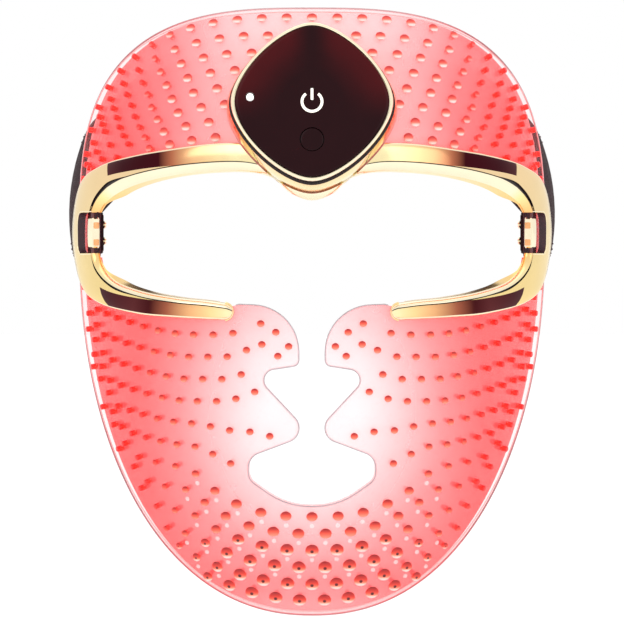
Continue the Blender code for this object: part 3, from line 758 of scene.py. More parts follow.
def webbing():
    """Knitted maroon elastic: fine crossing ribs along and across the strap."""
    shader = Shader("strap_webbing", (0.06, 0.012, 0.017), Roughness=0.82)
    shader.set("Sheen Weight", 0.06)
    shader.set("Specular IOR Level", 0.2)
    shader.set("Sheen Roughness", 0.45)
    where = shader.node("ShaderNodeUVMap", uv_map="strip")
    ribs = []
    for direction, scale in (("X", 62.0), ("Y", 46.0)):
        wave = shader.node("ShaderNodeTexWave", wave_type="BANDS", bands_direction=direction)
        for socket, value in (("Scale", scale), ("Distortion", 0.6), ("Detail", 1.0)):
            wave.inputs[socket].default_value = value
        shader.links.new(where.outputs["UV"], wave.inputs["Vector"])
        ribs.append(wave.outputs["Fac"])
    weave = shader.math("MULTIPLY", *ribs)
    height = shader.math("ADD", weave, shader.math("MULTIPLY", shader.noise(900.0), 0.35))
    cloud = shader.math("MULTIPLY", shader.noise(25.0), 0.3)
    tone = shader.math("ADD", shader.math("MULTIPLY", weave, 0.7), cloud)
    colour = shader.ramp(tone, ((0.1, (0.014, 0.003, 0.005)), (0.8, (0.055, 0.014, 0.022))))
    shader.join(colour, "Base Color")
    shader.join(shader.ramp(tone, ((0.0, 0.9), (1.0, 0.7))), "Roughness")
    shader.bump(height, 0.6, 0.0003)
    return shader.material


def panel_glass():
    """Dark red-black glass, with a painted red glow towards its upper edges."""
    shader = Shader("panel_glass", (0.03, 0.006, 0.008), Roughness=0.08)
    shader.set("Specular IOR Level", 0.06)
    shader.set("Coat Weight", 0.10)
    shader.set("Coat Roughness", 0.03)
    cloud = shader.ramp(shader.noise(140.0), ((0.3, 0.9), (0.7, 1.0)))
    shader.join(shader.blend(1.0, shader.attribute("tone"), cloud, "MULTIPLY"), "Base Color")
    shader.join(shader.ramp(shader.noise(300.0), ((0.3, 0.06), (0.7, 0.10))), "Roughness")
    return shader.material


# ---- The frame's crossings -----------------------------------------------------------------


def between(first, last, share):
    """A place between two places seen from the front, even along the side of the bowl."""
    lean = [math.asin(point[0] / BOWL_HALF_WIDTH) for point in (first, last)]
    x = BOWL_HALF_WIDTH * math.sin(lean[0] + (lean[1] - lean[0]) * share)
    return x, first[1] + (last[1] - first[1]) * share


class Crossing:
    """The line over the bowl from the window edge of the frame to its outer edge."""

    STEPS = 8

    def __init__(self, window, outer):
        self.places = [between(window, outer, n / self.STEPS) for n in range(self.STEPS + 1)]
        on_face = [on_bowl(*place) for place in self.places]
        self.travel = [0.0]
        for start, end in zip(on_face, on_face[1:]):
            self.travel.append(self.travel[-1] + (end - start).length)
        self.width = self.travel[-1]

    def place(self, distance):
        for number in range(self.STEPS):
            if distance <= self.travel[number + 1] or number == self.STEPS - 1:
                span = self.travel[number + 1] - self.travel[number]
                share = (distance - self.travel[number]) / span
                return between(self.places[number], self.places[number + 1], share)

    def point(self, distance, height):
        return on_bowl(*self.place(distance), height)


HALF_EDGES = [(*window, *outer) for window, outer in FRAME_EDGES]
WHOLE_EDGES = [(-a, b, -c, d) for a, b, c, d in reversed(HALF_EDGES[1:])] + HALF_EDGES


def frame_edges(place):
    """The window edge and outer edge at a place from -FRAME_SPAN to FRAME_SPAN."""
    a, b, c, d = smooth_curve(WHOLE_EDGES, place + FRAME_SPAN)
    return (a, b), (c, d)


def lip_width(place):
    """The width of the raised lip: wide over the eyes, narrow along the lower bands."""
    place = abs(place)
    if place < 9:
        return UPPER_LIP + (TEMPLE_LIP - UPPER_LIP) * max(0.0, place - 7) / 2
    return TEMPLE_LIP + (LOWER_LIP - TEMPLE_LIP) * min(1.0, (place - 9) / 3)


def opening_loop():
    """The one opening in the sheets: the eye window with the nose and mouth below it."""
    per_span = 6
    steps = FRAME_SPAN * per_span
    over_eyes = []
    for number in range(-steps, steps + 1):
        place = abs(number / per_span)
        at_temple = smooth_step((place - 6.6) / 0.8) * smooth_step((11.4 - place) / 0.8)
        edge = mix(SHEET_EDGE, TEMPLE_SHEET_EDGE, at_temple)
        over_eyes.append(Crossing(*frame_edges(number / per_span)).place(edge))
    corners = [(*over_eyes[-1], 0.0), *NOSE_AND_MOUTH]
    corners += [(-x, z, radius) for x, z, radius in reversed(NOSE_AND_MOUTH)]
    corners.append((*over_eyes[0], 0.0))
    return spread(over_eyes[1:-1] + rounded_outline(corners), 1.5)


def unit_loop(radius):
    """The control unit's outline on the bowl, seen from the front."""
    loop = []
    for u, v in diamond(radius, 96):
        place = unit_point(u, v, unit_w(u, v))
        loop.append((place.x, place.z))
    return loop


def bowl_x(y, z, height=0.0):
    """The x on the right side where the bowl, at a height above it, is at y."""
    low, high = 40.0, 84.9
    for _ in range(30):
        middle = (low + high) / 2
        if on_bowl(middle, z, height).y < y:
            low = middle
        else:
            high = middle
    return low


def notch_loop():
    """The strap's notch in the right side of the sheets, seen from the front."""
    half = SHEET_NOTCH_HALF_HEIGHT
    levels = [half * (1 - 2 * number / 12) for number in range(13)]
    return [(62.0, -half), (62.0, half)] + [(bowl_x(SHEET_NOTCH_REAR, z), z) for z in levels]


OUTLINE = [outline_point(2 * math.pi * number / 300) for number in range(300)]
OPENING = opening_loop()
UNIT_HOLE = unit_loop(SKIN_HOLE_RADIUS)
NOTCH = notch_loop()


def inside(loop, places):
    """Which of the places, an array of x, z, lie inside the loop."""
    x, z = places[:, 0], places[:, 1]
    found = np.zeros(len(places), bool)
    for (ax, az), (bx, bz) in zip(loop, loop[1:] + loop[:1]):
        crosses = (az > z) != (bz > z)
        if not crosses.any() or az == bz:
            continue
        found ^= crosses & (x < (bx - ax) * (z - az) / (bz - az) + ax)
    return found


def near(loop, places, reach):
    """Which of the places lie within reach of a point of the loop."""
    points = np.array(loop)
    gaps = places[:, None, :] - points[None, :, :]
    return (gaps**2).sum(2).min(1) < reach**2


# ---- The sheets ----------------------------------------------------------------------------


def flat_x(x):
    return BOWL_HALF_WIDTH * math.asin(max(-1.0, min(1.0, x / BOWL_HALF_WIDTH)))


def front_x(across):
    return BOWL_HALF_WIDTH * math.sin(across / BOWL_HALF_WIDTH)


def sheet_places():
    """The places and triangles of a sheet, seen from the front."""
    mirrored_notch = [(-x, z) for x, z in NOTCH]
    loops = [OUTLINE, OPENING, UNIT_HOLE, NOTCH, mirrored_notch]
    flat_loops = [[(flat_x(x), z) for x, z in loop] for loop in loops]
    points = []
    edges = []
    for loop in flat_loops:
        start = len(points)
        points += loop
        count = len(loop)
        edges += [(start + n, start + (n + 1) % count) for n in range(count)]
    wide = flat_x(HALF_WIDTH)
    grid = []
    row = 0
    z = -CHIN_DEPTH
    while z < TOP_HEIGHT:
        x = -wide + (row % 2) * SHEET_PITCH / 2
        while x < wide:
            grid.append((x, z))
            x += SHEET_PITCH
        z += SHEET_PITCH * 0.866
        row += 1
    grid = np.array(grid)
    keep = inside(flat_loops[0], grid) & ~inside(flat_loops[1], grid) & ~inside(flat_loops[2], grid)
    for loop in flat_loops:
        keep &= ~near(loop, grid, 0.62 * SHEET_PITCH)
    points += [tuple(place) for place in grid[keep]]
    made = delaunay_2d_cdt([Vector(point) for point in points], edges, [], 0, 1e-5)
    places = np.array([(vert.x, vert.y) for vert in made[0]])
    faces = np.array([face for face in made[2] if len(face) == 3])
    middles = places[faces].mean(1)
    keep = inside(flat_loops[0], middles)
    for loop in flat_loops[1:]:
        keep &= ~inside(loop, middles)
    faces = faces[keep]
    used = np.unique(faces)
    number = np.full(len(places), -1)
    number[used] = np.arange(len(used))
    return [(front_x(a), z) for a, z in places[used]], number[faces].tolist()


def rim_edges(faces):
    """The edges of a sheet that only one triangle has, in that triangle's direction."""
    owned = set()
    for a, b, c in faces:
        for edge in ((a, b), (b, c), (c, a)):
            if (edge[1], edge[0]) in owned:
                owned.remove((edge[1], edge[0]))
            else:
                owned.add(edge)
    return owned


def pinkness(x, z):
    """How strongly the light tints the silicone: clear by the nose and mouth, red at the sides."""
    if z > 0:
        side = smooth_step((abs(x) - 18.0) / 58.0)
        top = smooth_step((z - 52.0) / 30.0)
        brow = 1 - smooth_step((z - 24.0) / 16.0)
        return 0.26 + 0.50 * side - 0.10 * top * (1 - 0.6 * side) - 0.12 * brow * (1 - side)
    reach = math.hypot(x / 74.0, (z + 62.0) / 92.0)
    tint = 0.06 + 0.76 * smooth_step((reach - 0.18) / 0.74)
    edge = smooth_step((-z - 122.0) / 12.0)
    return tint - 0.22 * edge * (1 - smooth_step((abs(x) - 10.0) / 50.0))


def veil(x, z):
    """How opaque the liner is: most over the forehead's middle, least at its sides."""
    over_brow = smooth_step((z - 2.0) / 14.0)
    at_side = smooth_step((abs(x) - 50.0) / 14.0)
    on_cheek = mix(0.5, 0.82, smooth_step((abs(x) - 40.0) / 26.0))
    return mix(on_cheek, mix(1.0, 0.92, at_side), over_brow)


def make_sheets():
    places, faces = sheet_places()
    rim = rim_edges(faces)
    count = len(places)
    on_face = [Vector((x, bowl_y(x, z), z)) for x, z in places]
    normals = [bowl_normal(x, z) for x, z in places]
    tints = [pinkness(x, z) for x, z in places]
    skin_veil = [1 - smooth_step((abs(x) - 40.0) / 26.0) for x, z in places]
    liner_veil = [veil(x, z) for x, z in places]
    skin_look = silicone("silicone_skin", (0.07, 0.34), 0.20)
    liner_look = silicone("silicone_liner", (0.14, 0.86), 0.20)
    plan = (
        ("face_skin", SKIN, skin_look, skin_veil, "outer_skin"),
        ("face_liner", LINER, liner_look, liner_veil, "inner_liner"),
    )
    for name, heights, material, veils, node in plan:
        points = []
        for height in heights:
            points += [place + normal * height for place, normal in zip(on_face, normals)]
        solid = [list(face) for face in faces]
        solid += [[count + c, count + b, count + a] for a, b, c in faces]
        solid += [[b, a, count + a, count + b] for a, b in rim]
        sheet = build(name, points, solid, material, "mask", "silicone", angle=50.0)
        tones = [(tint, share, 0.0) for tint, share in zip(tints, veils)]
        paint(sheet, tones + tones)
        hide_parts(node)


def lifted(loop, height):
    return [on_bowl(x, z, height) for x, z in loop]


def loop_normals(loop):
    return [bowl_normal(x, z) for x, z in loop]


def scaled_outline(inset, count=300):
    """The outline drawn in by a distance over the bowl."""
    found = []
    for number in range(count):
        x, z = outline_point(2 * math.pi * number / count)
        found.append(drawn_in(x, z, inset))
    return found


def drawn_in(x, z, inset):
    """The place a distance over the bowl inside a place on the outline."""
    step = 0.01
    angle = math.atan2(z, x)
    ahead = outline_point(angle + step)
    back = outline_point(angle - step)
    way = Vector((-(ahead[1] - back[1]), ahead[0] - back[0])).normalized()
    start = on_bowl(x, z)
    low, high = 0.0, inset
    for _ in range(18):
        middle = (low + high) / 2
        if (on_bowl(x + way.x * middle, z + way.y * middle) - start).length < inset:
            low = middle
        else:
            high = middle
    return x + way.x * low, z + way.y * low


RIB_INSET = 1.9
BELOW_FRAME = -24.6
NOSE_HALF_WIDTH = 28.0


def make_rims():
    """The bead round the outline, the fine rib inside it, and the edge of the opening."""
    edge = plain("silicone_edge", (0.45, 0.22, 0.24), 200.0, 0.1, 0.35, 0.1, 0.03, Alpha=0.85)
    clear = (0.50, 0.42, 0.45)
    clear_edge = plain("silicone_clear_edge", clear, 200.0, 0.1, 0.3, 0.1, 0.03, Alpha=0.8)
    bead = tube(lifted(OUTLINE, -0.35), loop_normals(OUTLINE), 0.30)
    build("rim_bead", *bead, edge, "mask", "silicone")
    rib = scaled_outline(RIB_INSET)
    pale = plain("silicone_rib", (0.95, 0.58, 0.58), 200.0, 0.06, 0.3, 0.1, 0.03, Alpha=0.8)
    build("rim_rib", *tube(lifted(rib, 0.02), loop_normals(rib), 0.20), pale, "mask", "silicone")
    lower = [(x, z) for x, z in OPENING if z < BELOW_FRAME and abs(x) < NOSE_HALF_WIDTH]
    start = max(range(len(lower)), key=lambda n: lower[n][0])
    lower = lower[start:] + lower[:start]
    bead = tube(lifted(lower, -0.3), loop_normals(lower), 0.30, closed=False)
    build("opening_bead", *bead, clear_edge, "mask", "silicone")


# ---- The nubs ------------------------------------------------------------------------------

FOREHEAD_ROWS = 8
FOREHEAD_STEP = 9.4
FOREHEAD_SHIFT = -0.3
FIRST_INSET = 4.2
FRAME_GAP = 2.6
CHIN_ROWS = (-100.0, -106.0, -112.0, -118.0, -124.0, -129.7)
CHEEK_TOP = -36.0
CHEEK_PITCH = 7.8
CHEEK_X = 43.0
OUTLINE_GAP = 2.7
OPENING_GAP = 3.0
BY_THE_NOSE = ((18.0, -32.1), (12.7, -35.1), (8.2, -40.1), (17.6, -39.4), (12.0, -43.5))


def forehead_row(row, along):
    """A place on a forehead row: along is 0 at the middle and 1 at the temple."""
    outer = outline_point(mix(math.pi / 2, math.radians(11.5), along))
    if abs(outer[0]) < 1e-6:
        outer = (0.0, outer[1])
    top = drawn_in(*outer, FIRST_INSET)
    _, edge = frame_edges(8.35 * along**0.92)
    start = on_bowl(*edge)
    gap = (on_bowl(*top) - start).length
    share = (row / (FOREHEAD_ROWS - 1)) * (1 - FRAME_GAP / max(gap, 12.0))
    lean_top = math.asin(top[0] / BOWL_HALF_WIDTH)
    lean_edge = math.asin(edge[0] / BOWL_HALF_WIDTH)
    x = BOWL_HALF_WIDTH * math.sin(mix(lean_top, lean_edge, share))
    return x, mix(top[1], edge[1], share)


def cheek_rise(x, z):
    tail = max(0.0, x - (outline_x(z) - 4.4))
    return 8.3 * (max(0.0, x - CHEEK_X) / 33.0) ** 1.6 + 1.3 * tail


def face_row(row, x):
    """The height of a row of the lower face. Rows 0 to 5 cross the cheeks, 6 to 11 the chin."""
    side = CHEEK_TOP - CHEEK_PITCH * row
    if row > 9:
        side = (-113.4, -118.4)[row - 10]
    if x >= CHEEK_X:
        return side + cheek_rise(x, side)
    if row >= 6:
        middle = CHIN_ROWS[row - 6]
        power = 2.8 - 0.16 * (row - 6)
        return middle + (side - middle) * (x / CHEEK_X) ** power
    share = (CHEEK_X - x) / CHEEK_X
    fall = 26.0 * smooth_step((row - 3.2) / 1.8) * share**1.3
    return side + 3.6 * smooth_step((31.0 - x) / 13.0) * (1 - smooth_step((row - 3) / 2)) - fall


def walk(curve, step, phase, length):
    """Places an even step apart along a curve of one number, from its start."""
    count = 400
    found = []
    travel = 0.0
    target = phase
    before = on_bowl(*curve(0.0))
    if phase <= 1e-6:
        found.append(curve(0.0))
        target = step
    for number in range(1, count + 1):
        place = curve(length * number / count)
        here = on_bowl(*place)
        travel += (here - before).length
        before = here
        if travel >= target:
            found.append(place)
            target += step
    return found


def nub_sites():
    """Every nub on the right and the middle, as x, z and its kind."""
    found = []
    spots = []
    outline = np.array([tuple(on_bowl(x, z)) for x, z in OUTLINE])
    opening = np.array([tuple(on_bowl(x, z)) for x, z in OPENING])
    frame_loop = [frame_edges(n / 4)[0] for n in range(-60, 61)]
    frame_loop += [frame_edges(n / 4)[1] for n in range(60, -61, -1)]
    under_unit = unit_loop(UNIT_RADIUS + 0.2)

    def offer(x, z, kind, gap):
        if x < -0.01:
            return
        place = np.array([[x, z]])
        here = np.array(tuple(on_bowl(x, z)))
        if not inside(OUTLINE, place)[0]:
            return
        if any(inside(loop, place)[0] for loop in (OPENING, under_unit, frame_loop)):
            return
        if np.linalg.norm(outline - here, axis=1).min() < OUTLINE_GAP:
            return
        if np.linalg.norm(opening - here, axis=1).min() < OPENING_GAP:
            return
        for x_side in (here, here * (-1, 1, 1)):
            if spots and np.linalg.norm(np.array(spots) - x_side, axis=1).min() < gap:
                return
        if x > 0.3 and np.linalg.norm(here - here * (-1, 1, 1)) < gap:
            return
        spots.append(here)
        found.append((x, z, kind))

    for row in range(FOREHEAD_ROWS):
        phase = (FOREHEAD_SHIFT * row * FOREHEAD_STEP) % FOREHEAD_STEP
        for x, z in walk(lambda t, row=row: forehead_row(row, t), FOREHEAD_STEP * 0.94, phase, 1.0):
            offer(x, z, "forehead", 4.4)
    for x, z in BY_THE_NOSE:
        offer(x, z, "cheek", 4.0)
    for row in range(6, 12):
        step = 9.4 - 0.12 * (row - 6)
        phase = 0.0 if row % 2 == 0 else step / 2
        for x, z in walk(lambda t, row=row: (t, face_row(row, t)), step * 0.96, phase, 80.0):
            offer(x, z, "chin", 4.6)
    for row in range(-1, 6):
        phase = (2.0 * row) % 7.2
        for x, z in walk(lambda t, row=row: (14.0 + t, face_row(row, 14.0 + t)), 7.2, phase, 68.0):
            offer(x, z, "cheek", 4.6)
    for row in range(9):
        for column in range(5):
            x = 9.0 + 7.2 * column + 3.4 * (row % 2)
            offer(x, -55.0 - 5.6 * row, "cheek", 6.6)
    return found


# Painted highlight and shade on the nub lenses, from the lens's lower edge at -1 to its upper edge
# at 1: lighter low down, darker red towards the top.
NUB_HIGHLIGHT_AND_SHADE = {
    "chin": (
        (-1.0, (0.42, 0.20, 0.20)),
        (-0.90, (0.92, 0.70, 0.68)),
        (-0.62, (0.95, 0.66, 0.58)),
        (-0.40, (0.95, 0.26, 0.15)),
        (0.05, (0.80, 0.05, 0.025)),
        (0.55, (0.55, 0.014, 0.010)),
        (1.0, (0.24, 0.003, 0.005)),
    ),
    "forehead": (
        (-1.0, (0.55, 0.30, 0.30)),
        (-0.86, (0.95, 0.76, 0.74)),
        (-0.50, (0.97, 0.56, 0.50)),
        (-0.20, (0.95, 0.20, 0.14)),
        (0.25, (0.80, 0.05, 0.035)),
        (0.65, (0.60, 0.022, 0.02)),
        (1.0, (0.36, 0.008, 0.010)),
    ),
    "cheek": (
        (-1.0, (0.98, 0.34, 0.26)),
        (-0.5, (0.95, 0.20, 0.12)),
        (0.1, (0.85, 0.07, 0.035)),
        (0.6, (0.50, 0.014, 0.010)),
        (1.0, (0.26, 0.003, 0.005)),
    ),
}
# The rod's glowing red, painted on a lens where the face turns sideways.
PAINTED_GLOW_RED = (0.85, 0.012, 0.010)
DOT_RED = (0.10, 0.003, 0.005)
DOT_SHARE = 0.26
LENS_ROWS = (
    (0.0, 0.40),
    (0.22, 0.40),
    (0.30, 0.42),
    (0.62, 0.40),
    (0.86, 0.32),
    (1.0, 0.14),
    (1.02, -0.10),
)
LENS_SIDES = 20
ROD_ROWS = ((0.15, 0.9), (-0.1, 1.0), (-3.9, 1.0), (-4.3, 0.82), (-4.5, 0.4))
ROD_SIDES = 12
CHIP_HALF = 0.8


def nub_highlight_and_shade(kind, level):
    """The painted highlight and shade of a nub's lens, lighter low down and darker red at the top:
    level is -1 at its foot and 1 at its crown.
    """
    stops = NUB_HIGHLIGHT_AND_SHADE[kind]
    for (low, first), (high, last) in zip(stops, stops[1:]):
        if level <= high:
            share = (level - low) / (high - low)
            return tuple(mix(a, b, share) for a, b in zip(first, last))
    return stops[-1][1]


def nub_size(kind, x, z):
    """Half the width and half the height of a nub's lens."""
    if kind != "chin":
        wide = {"forehead": 1.75, "cheek": 1.3}[kind]
        return wide, wide * 0.92
    wide = mix(1.95, 2.35, smooth_step((-z - 100.0) / 14.0))
    wide = mix(wide, 1.35, smooth_step((abs(x) - 24.0) / 24.0))
    return wide, wide * mix(0.86, 0.98, smooth_step((-z - 104.0) / 10.0))


def ring_faces(rows, sides, start=0):
    """The faces between rings of points, from the first ring, at start, to the last."""
    faces = []
    for ring in range(rows - 1):
        first = start + ring * sides
        for number in range(sides):
            after = (number + 1) % sides
            second = first + sides
            faces.append([first + number, second + number, second + after, first + after])
    return faces


def surface_axes(x, z):
    """A place on the outer face, its normal, and the ways up and across there."""
    normal = bowl_normal(x, z)
    up = (Vector((0.0, 0.0, 1.0)) - normal * normal.z).normalized()
    return on_bowl(x, z), normal, up, up.cross(normal).normalized()


def add_lens(lenses, kind, x, z):
    """A low lens over a nub, which dwindles to the rod's end where the face turns sideways. Its
    colours are painted highlight and shade, and where the face turns sideways it is painted the
    rod's glowing red, less on its upper part.
    """
    foot, normal, up, across = surface_axes(x, z)
    edge_on = smooth_step((abs(normal.x) - 0.5) / 0.25)
    wide, tall = (mix(size, 0.98, edge_on) for size in nub_size(kind, x, z))
    upper_chin = kind == "chin" and z > -108.0
    dotted = kind == "chin" and not upper_chin
    tones = "cheek" if upper_chin else kind
    points = []
    colours = []
    for share, height in LENS_ROWS:
        lift = -0.12 if share < 0.4 else 0.0
        for number in range(LENS_SIDES if share else 1):
            turn = 2 * math.pi * number / LENS_SIDES
            level = math.sin(turn) * share + lift
            offset = across * (math.cos(turn) * share * wide) + up * (level * tall)
            points.append(foot + offset + normal * height)
            tone = nub_highlight_and_shade(tones, level)
            if dotted and share < DOT_SHARE:
                tone = DOT_RED
            red = edge_on * (0.6 if level > 0.5 else 1.0)
            colours.append(tuple(mix(a, b, red) for a, b in zip(tone, PAINTED_GLOW_RED)))
    faces = [[0, 1 + n, 1 + (n + 1) % LENS_SIDES] for n in range(LENS_SIDES)]
    faces += ring_faces(len(LENS_ROWS) - 1, LENS_SIDES, 1)
    last = 1 + (len(LENS_ROWS) - 2) * LENS_SIDES
    faces.append([last + number for number in range(LENS_SIDES)])
    lenses.add(points, faces, colours)


def add_rod(rods, x, z):
    """The glowing rod under a nub, from the outer face through the sheets."""
    foot, normal, up, across = surface_axes(x, z)
    radius = mix(0.85, 1.0, smooth_step((abs(x) - 35.0) / 35.0))
    points = []
    colours = []
    for depth, share in ROD_ROWS:
        for number in range(ROD_SIDES):
            turn = 2 * math.pi * number / ROD_SIDES
            side = math.sin(turn)
            offset = (across * math.cos(turn) + up * side) * radius * share
            points.append(foot + offset + normal * depth)
            # Painted shade: the rod is darker along its top side and at its inner end.
            dark = side > 0.75 or depth < -4.0
            colours.append((0.45, 0.002, 0.004) if dark else (1.0, 0.010, 0.004))
    faces = [list(range(ROD_SIDES))] + ring_faces(len(ROD_ROWS), ROD_SIDES)
    last = (len(ROD_ROWS) - 1) * ROD_SIDES
    faces.append([last + number for number in reversed(range(ROD_SIDES))])
    rods.add(points, faces, colours)


def add_chip(chips, x, z):
    """The lamp's chip in the film under a nub."""
    foot, normal, up, across = surface_axes(x, z)
    corners = [(-1, -1), (1, -1), (1, 1), (-1, 1)]
    points = []
    for depth in (-1.45, -1.8):
        points += [foot + (across * a + up * b) * CHIP_HALF + normal * depth for a, b in corners]
    faces = [[0, 1, 2, 3], [7, 6, 5, 4]]
    faces += [[n, n + 4, (n + 1) % 4 + 4, (n + 1) % 4] for n in range(4)]
    chips.add(points, faces, [(0.95, 0.20, 0.15)] * len(points))


def make_nubs():
    lenses, rods, dots, chips = Batch(), Batch(), Batch(), Batch()
    sites = nub_sites()
    whole = sites + [(-x, z, kind) for x, z, kind in sites if x > 0.3]
    for x, z, kind in whole:
        add_lens(lenses, kind, x, z)
        add_rod(rods, x, z)
        add_chip(chips, x, z)
    for x, z, kind in whole:
        if kind == "chin" and -119.0 < z < -84.0 and abs(x) < 46:
            add_dot(dots, x * 0.985, z - 3.3)
    lens_look = toned("nub_lens", 0.12, 0.3, Coat_Weight=0.15, Coat_Roughness=0.15)
    lenses.build("nub_lenses", lens_look, "mask", "silicone")
    rods.build("nub_rods", toned("nub_rod", 1.5, 0.35), "mask", "silicone")
    chip = chips.build("led_chips", toned("led_chip", 0.6, 0.4), "mask", "led_film")
    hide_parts("led_film")
    dots.build("light_dots", toned("light_dot", 0.2, 0.5, Alpha=0.32), "mask", "silicone")


DOT_SIDES = 14
DOT_ROWS = ((0.5, 0.14), (0.9, 0.06), (1.0, -0.1))
DOT_RADIUS = 0.85


def add_dot(dots, x, z):
    """A pale spot of light on the skin below a nub."""
    place = np.array([[x, z]])
    if inside(OPENING, place)[0] or near(OPENING, place, 2.5)[0]:
        return
    foot, normal, up, across = surface_axes(x, z)
    points = [foot + normal * 0.16]
    for share, height in DOT_ROWS:
        for number in range(DOT_SIDES):
            turn = 2 * math.pi * number / DOT_SIDES
            offset = (across * math.cos(turn) + up * math.sin(turn)) * DOT_RADIUS * share
            points.append(foot + offset + normal * height)
    faces = [[0, 1 + n, 1 + (n + 1) % DOT_SIDES] for n in range(DOT_SIDES)]
    faces += ring_faces(len(DOT_ROWS), DOT_SIDES, 1)
    last = 1 + (len(DOT_ROWS) - 1) * DOT_SIDES
    faces.append([last + number for number in range(DOT_SIDES)])
    dots.add(points, faces, [(1.0, 0.93, 0.92)] * len(points))


# ---- The gilt frame ------------------------------------------------------------------------

LIP, GROOVE, BAND, EDGE, WALL, SLOT = range(6)
STRIP_LENGTH = 16
SIDES = (("left", True), ("right", False))


def flange_depth(place):
    """The depth of the flange through the sheets, which leaves out the temples and the tips."""
    place = abs(place)
    if place > FRAME_SPAN - 0.5:
        return FLANGE_STOP
    from_front = smooth_step((place - TEMPLE_PLACES[0] + 0.4) / 0.8)
    from_below = smooth_step((TEMPLE_PLACES[1] + 0.4 - place) / 0.8)
    return mix(FLANGE_DEPTH, FLANGE_STOP, from_front * from_below)


def groove_width(place):
    """The width of the groove beside the lip, which is painted black-red as shade and is broad
    along the temples.
    """
    place = abs(place)
    upper = smooth_step((place - 6.2) / 0.8) * (1 - smooth_step((place - 8.8) / 0.6))
    lower = smooth_step((place - 9.8) / 0.4) * (1 - smooth_step((place - 11.2) / 0.8))
    return 0.38 + 1.4 * upper + 0.6 * lower


def frame_profile(width, lip, depth, groove):
    """The frame's section, as distance from the window edge, height, and the face that follows."""
    lip = min(lip, 0.3 * width)
    flange = min(1.1, 0.25 * width)
    edge = min(0.8, 0.15 * width)
    groove = min(groove, 0.16 * width)
    inner = lip + groove
    middle = 0.5 * (inner + width)
    return (
        (0.0, depth, WALL),
        (0.0, 0.7, WALL),
        (0.05, 1.15, LIP),
        (0.25 * lip, 1.95, LIP),
        (0.55 * lip, 2.65, LIP),
        (0.82 * lip, 3.05, LIP),
        (lip, 3.12, GROOVE),
        (lip + 0.06, 2.35, GROOVE),
        (inner - 0.06, 2.35, GROOVE),
        (inner, 3.0, BAND),
        (mix(inner, middle, 0.5), 3.0, BAND),
        (middle, 2.92, BAND),
        (mix(middle, width, 0.5), 2.78, BAND),
        (width - edge, 2.5, EDGE),
        (width - 0.55 * edge, 2.36, EDGE),
        (width - 0.2 * edge, 2.05, EDGE),
        (width, 1.55, WALL),
        (width, 0.5, WALL),
        (0.5 * width, 0.5, WALL),
        (flange, 0.5, WALL),
        (flange, depth, WALL),
    )


